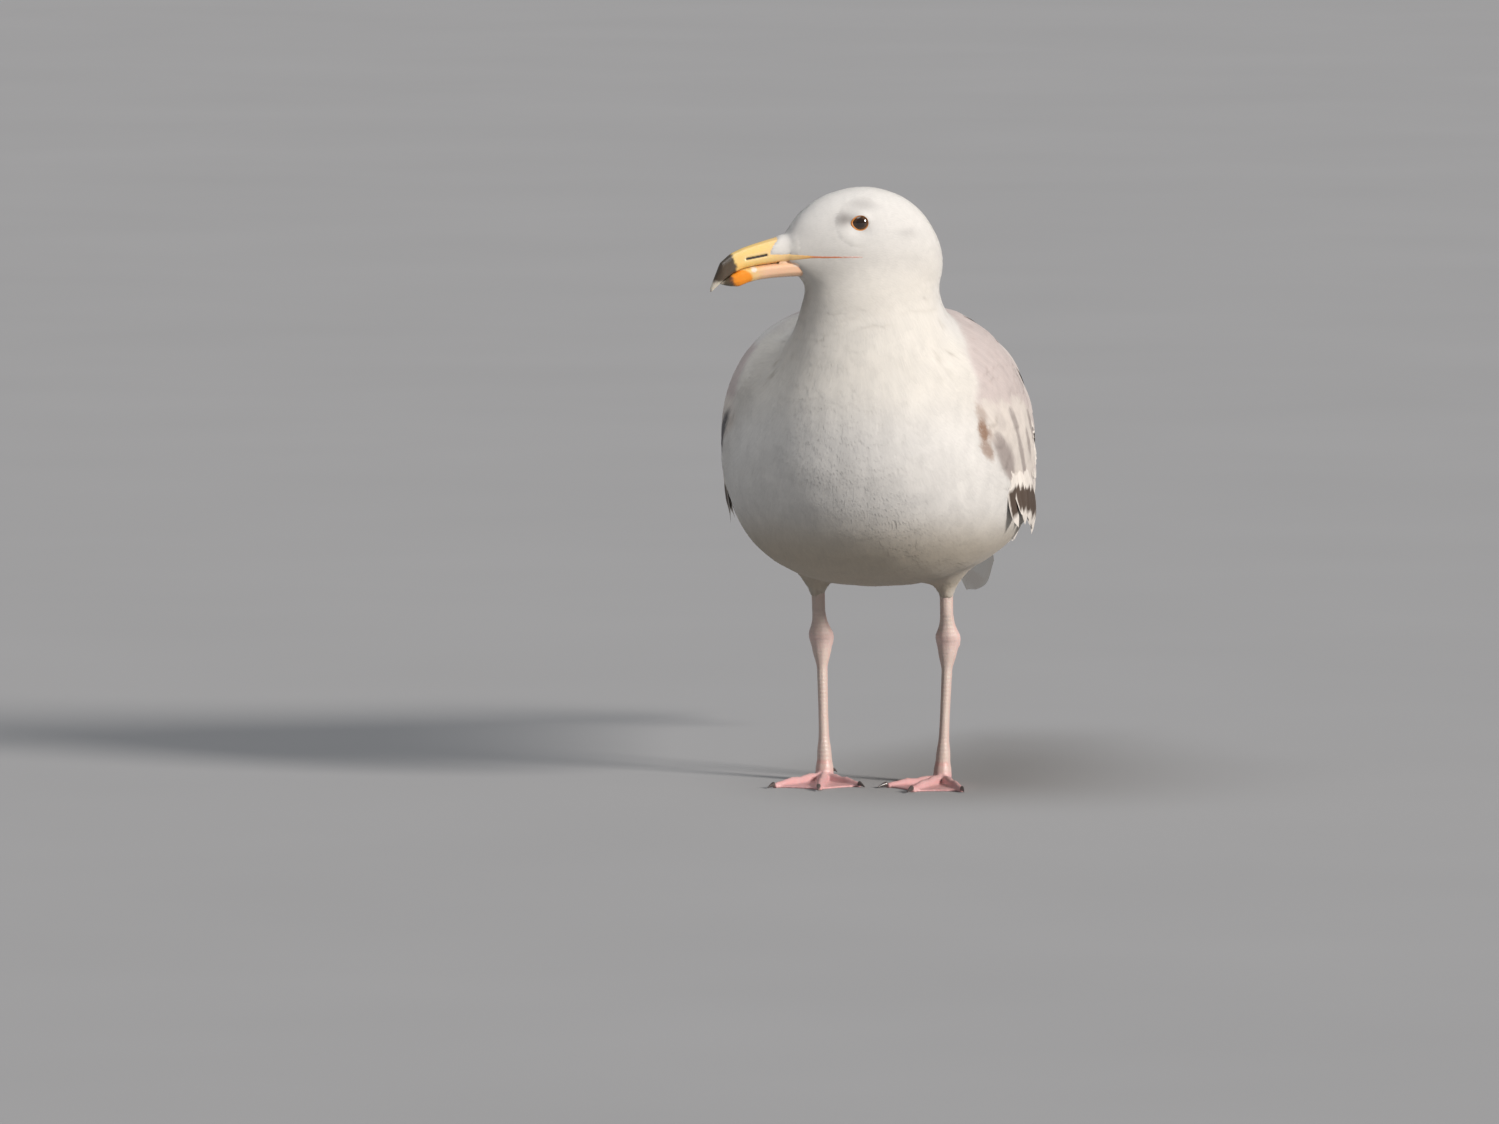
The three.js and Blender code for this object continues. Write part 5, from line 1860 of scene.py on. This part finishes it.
def wing_feathers(side, sign):
    chance = np.random.default_rng(50 + (sign > 0))
    form = Ground([f"{node}_{side}" for node in ("wing", "tertials", "wingtip")])
    mantle = Bundle(f"mantle_{side}", "grey_plumage")
    coverts = Bundle(f"coverts_{side}", "flight_feathers")
    quills = Bundle(f"flight_feathers_{side}", "flight_feathers")

    def covered(point, spare):
        """True where the body's white feathers lie over the wing."""
        return (point.y - PLAN) / MM < FRONT_OF_WING[side]((point.z - FLOOR) / MM) + spare

    def by_side(bundle, back, up, length, width, look_now, fall=None, **how):
        hit, normal = form.from_side(PLAN + back * MM, FLOOR + up * MM, sign)
        if hit is None or (fall is None and covered(hit, -2.0)):
            return
        if fall is None:
            way = course(back, sign, chance.uniform(-0.08, 0.08))
        else:
            way = Vector((0, math.cos(math.radians(fall)), -math.sin(math.radians(fall))))
        points, normals = form.walk(hit, normal, way, length * MM)
        if fall is not None or not covered(points[-1], 2.0):
            bundle.add(points, normals, width * MM, look_now, **how)

    # primaries first, as they lie deepest: each one that follows is shorter and lies higher
    for k in range(PRIMARIES):
        start, end = (112 + 3 * k, -6 + 11 * k), (318 - 15.5 * k, 38 + 6 * k)
        feather = look(tone(BLACKISH, chance), WORN_WHITE, 0.04, 0.030, tone(BLACKISH, chance), NO_BAND, 0.2)
        points, normals = form.trail(start, end, sign)
        quills.add(points, normals, 20 * MM, feather, root_depth=2.8, tip_depth=1.6 - 0.2 * k, bow=0.12)
    # secondaries along the wing's lower edge
    for k in range(SECONDARIES):
        share = k / (SECONDARIES - 1)
        back = -56 + 162 * share
        up = WING_EDGE(back + 28) + 27
        feather = look(tone(BROWN_GREY, chance), WORN_WHITE, 0.08, 0.14, tone(DARK_BROWN, chance), 0.50, 0.2)
        by_side(quills, back, up, 50 + 8 * share, 18, feather, root_depth=2.8, tip_depth=1.6, bow=0.14)
    # coverts
    for row, (below, length, width, centre, edge) in enumerate(COVERT_ROWS):
        count = 15 + 2 * row
        for k in range(count):
            back = -78 + 200 * (k + 0.5 * (row % 2)) / count + chance.uniform(-1.5, 1.5)
            if back < SOFT_END - 14:
                continue
            fall = math.radians(FALL(back))
            up = MANTLE_EDGE(back) - below + 0.5 * length * math.sin(fall) + chance.uniform(-1.5, 1.5)
            if up < WING_EDGE(back) + 2:
                continue
            centre_now = RUFOUS if back < -60 and row in (1, 2) else centre
            band_from = 0.42 if row == 0 and -60 < back < 60 else NO_BAND
            ground, fringe = tone(centre_now, chance, 0.10), tone(WORN_WHITE, chance, 0.05)
            pale_edge = edge * chance.uniform(0.6, 1.4)
            band = tone(DARK_BROWN if row == 0 else BROWN_GREY, chance)
            feather = look(ground, fringe, pale_edge, 0.14, band, band_from, 0.35)
            by_side(coverts, back, up, length, width, feather, root_depth=2.7, tip_depth=1.0)
    # dark tips with white ends that hang out under the shoulder
    for k in range(HANGING_TIPS):
        share = k / (HANGING_TIPS - 1)
        ground, fringe = tone(WORN_WHITE, chance), tone(WORN_WHITE, chance)
        white_end = chance.uniform(0.12, 0.20)
        band, band_from = tone(DARK_BROWN, chance), chance.uniform(0.50, 0.60)
        feather = look(ground, fringe, 0.03, white_end, band, band_from, 0.1)
        back, up = -49 + 36 * share + chance.uniform(-1.5, 1.5), 182 - 6 * share + chance.uniform(-4, 3)
        fall, lift = 58 - 6 * share, -1.5 - 4.5 * share
        length, width = 43 * chance.uniform(0.9, 1.08), chance.uniform(8, 13)
        by_side(quills, back, up, length, width, feather, fall, root_depth=2.4, tip_depth=lift, bow=0.25)
    # tertials
    for k in range(TERTIALS):
        start, end = (66 + 6 * k, 4 + 10 * k), (172 - 6 * k, 12 + 10 * k)
        feather = look(tone(BROWN_GREY, chance), WORN_WHITE, 0.10, 0.09, tone(DARK_BROWN, chance), 0.50, 0.3)
        points, normals = form.trail(start, end, sign)
        quills.add(points, normals, (28 - 1.5 * k) * MM, feather, root_depth=2.6, tip_depth=0.8 - 0.1 * k)
    # mantle and scapulars
    for row in range(MANTLE_ROWS):
        share = row / (MANTLE_ROWS - 1)
        back = -74 + 184 * row / (MANTLE_ROWS - 1)
        low = math.atan2(MANTLE_EDGE(back) - AXIS(back), 62)
        high = math.radians(80)
        count = int(round((high - low) * 85 / 9.5))
        for k in range(count):
            angle = low + (high - low) * (k + 0.5 * (row % 2)) / count + chance.uniform(-0.015, 0.015)
            if angle > high or back < SOFT_END - 12:
                continue
            y = back + chance.uniform(-2.2, 2.2)
            hit, normal = form.from_axis(PLAN + y * MM, FLOOR + AXIS(y) * MM, angle, sign)
            if hit is None or covered(hit, -3.0):
                continue
            length = (25 + 17 * share) * chance.uniform(0.9, 1.12)
            width = (14 + 8 * share) * chance.uniform(0.92, 1.08)
            feather = mantle_look(chance)
            way = course(y, sign, chance.uniform(-0.1, 0.1))
            points, normals = form.walk(hit, normal, way, length * MM)
            deep = chance.uniform(0.35, 0.55) + 0.45 * float(step(25, 5, back))
            lean = chance.uniform(-0.04, 0.04)
            mantle.add(
                points, normals, width * MM, feather, root_depth=1.9, tip_depth=deep, bow=0.10, lean=lean,
            )
    return [bundle.lay(VANE_FINISH, 60 + n) for n, bundle in enumerate((mantle, coverts, quills))]


for side, sign in SIDES.items():
    pieces = wing_feathers(side, sign)
    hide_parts(f"wingtip_{side}")


# %% Middle of the back
RIDGE_ROWS = 17
SKY = 0.4  # metres above the floor, from where the back is looked for


def back_feathers():
    """Rows across the ridge of the back, where the two wings meet."""
    chance = np.random.default_rng(70)
    nodes = ["trunk"] + [f"{node}_{side}" for node in ("wing", "tertials") for side in SIDES]
    form = Ground(nodes, 2.0 * MM, 5 * MM, 30)
    back = Bundle("mantle_middle", "grey_plumage")
    for row in range(RIDGE_ROWS):
        share = row / (RIDGE_ROWS - 1)
        for k in range(-2, 3):
            x = (k + 0.5 * (row % 2)) * 9.5 + chance.uniform(-1, 1)
            y = -18 + 126 * share + chance.uniform(-2, 2)
            hit, normal = form.tree.ray_cast(
                Vector((x * MM, PLAN + y * MM, SKY)), Vector((0, 0, -1)), SKY,
            )[:2]
            if normal.z < 0.55:
                continue
            way = Vector((0.003 * x, 1, -0.7))
            feather = mantle_look(chance)
            length, width = (20 + 14 * share) * chance.uniform(0.9, 1.1), 14 + 6 * share
            points, normals = form.walk(hit, normal, way, length * MM)
            deep = chance.uniform(0.1, 0.35)
            back.add(points, normals, width * MM, feather, root_depth=1.6, tip_depth=deep, bow=0.10)
    back.lay(VANE_FINISH, 71)


back_feathers()


# %% Tail
TAIL_PAIRS = 6
TAIL_WHITE, TAIL_FRINGE, TAIL_SHADE = (0.76, 0.74, 0.70), (0.74, 0.71, 0.66), (0.70, 0.66, 0.61)


def tail_feathers():
    chance = np.random.default_rng(90)
    form = Ground(["tail"], 1.2 * MM)
    low, high = (np.array(c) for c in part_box("tail"))
    fan = Bundle("tail_feathers", "flight_feathers")
    for k in range(TAIL_PAIRS):
        share = (TAIL_PAIRS - 1 - k) / (TAIL_PAIRS - 1)
        for sign in (1, -1):
            x = sign * (1 + 11 * share) * MM
            start = Vector((x, low[1] + 12 * MM, high[2] + 0.05))
            hit, normal = form.tree.ray_cast(start, Vector((0, 0, -1)), RAY)[:2]
            if hit is None:
                continue
            length = high[1] - start[1] - (1 + 2 * share) * MM
            way = Vector((sign * 0.055 * share, 1, -0.15))
            ground, fringe = tone(TAIL_WHITE, chance, 0.03), tone(TAIL_FRINGE, chance, 0.03)
            feather = look(ground, fringe, 0.10, 0.07, tone(TAIL_SHADE, chance), 0.30, 0.1)
            points, normals = form.walk(hit, normal, way, length)
            depths = dict(root_depth=0.6 + 0.55 * share, tip_depth=0.2 + 0.35 * share)
            fan.add(points, normals, 25 * MM, feather, bow=0.06, **depths)
    piece = fan.lay(VANE_FINISH, 91)
    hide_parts("tail")


tail_feathers()

# %% [markdown]
# A long lens far away keeps the bird's proportions flat and true. The light is soft: a wide low sun from
# the bird's left, a wider and fainter one from high on its right, and a little light from all round. The
# floor is plain and matt.

# %% Camera
TURN, DROP = math.radians(12), math.radians(5)
LENS, SENSOR = 400.0, 36.0
VIEW_WIDTH = 0.817
AIM_SIDE, AIM_UP, AIM_NEAR = 0.0735, 0.1207, 0.033  # metres from the legs' middle on the floor to the aim
toward = np.array([-math.sin(TURN) * math.cos(DROP), math.cos(TURN) * math.cos(DROP), -math.sin(DROP)])
across = np.array([math.cos(TURN), math.sin(TURN), 0.0])
upright = np.cross(across, toward)
aim = np.array([0.0, PLAN, FLOOR]) - AIM_SIDE * across + AIM_UP * upright - AIM_NEAR * toward
spot_of_camera = aim - toward * (VIEW_WIDTH * LENS / SENSOR)
lens = bpy.data.cameras.new("camera")
lens.lens, lens.sensor_width = LENS, SENSOR
lens.clip_start, lens.clip_end = 0.1, 200.0
camera = bpy.data.objects.new("camera", lens)
bpy.context.scene.collection.objects.link(camera)
camera.matrix_world = Matrix.Translation(Vector(spot_of_camera)) @ Matrix(
    [[across[i], upright[i], -toward[i]] for i in range(3)]
).to_4x4()
bpy.context.scene.camera = camera

# %% Floor and light
floor = new_object("floor", [(-60, -60, 0), (60, -60, 0), (60, 60, 0), (-60, 60, 0)], [(0, 1, 2, 3)])
floor_finish, floor_tree, floor_surface = shader("floor_paint")
floor_place = wire(floor_tree, "ShaderNodeTexCoord").outputs["Object"]
grain = wire(floor_tree, "ShaderNodeTexNoise", {"Vector": floor_place, "Scale": 3.0})
floor_colour = wire(floor_tree, "ShaderNodeMapRange", {"Value": grain.outputs[0], 3: 0.31, 4: 0.34})
floor_tree.links.new(floor_colour.outputs[0], floor_surface.inputs["Base Color"])
floor_surface.inputs["Roughness"].default_value = 0.9
floor.data.materials.append(floor_finish)


def sun(name, azimuth, elevation, strength, size, colour):
    lamp = bpy.data.lights.new(name, "SUN")
    lamp.energy, lamp.angle, lamp.color = strength, math.radians(size), colour
    made = bpy.data.objects.new(name, lamp)
    a, e = math.radians(azimuth), math.radians(elevation)
    from_where = Vector((math.sin(a) * math.cos(e), -math.cos(a) * math.cos(e), math.sin(e)))
    made.rotation_mode = "QUATERNION"
    made.rotation_quaternion = from_where.to_track_quat("Z", "Y")
    bpy.context.scene.collection.objects.link(made)


sun("key", 66, 23, 4.0, 14, (1.0, 0.945, 0.905))
sun("sky", -48, 70, 1.4, 50, (0.94, 0.96, 1.0))
world = bpy.data.worlds.new("studio")
bpy.context.scene.world = world
world.use_nodes = True
world.node_tree.nodes["Background"].inputs["Color"].default_value = (0.90, 0.93, 1.0, 1)
world.node_tree.nodes["Background"].inputs["Strength"].default_value = 0.15
bpy.context.scene.view_settings.view_transform = "Standard"

# %% Where the camera stands
say("camera", spot_of_camera.round(3))
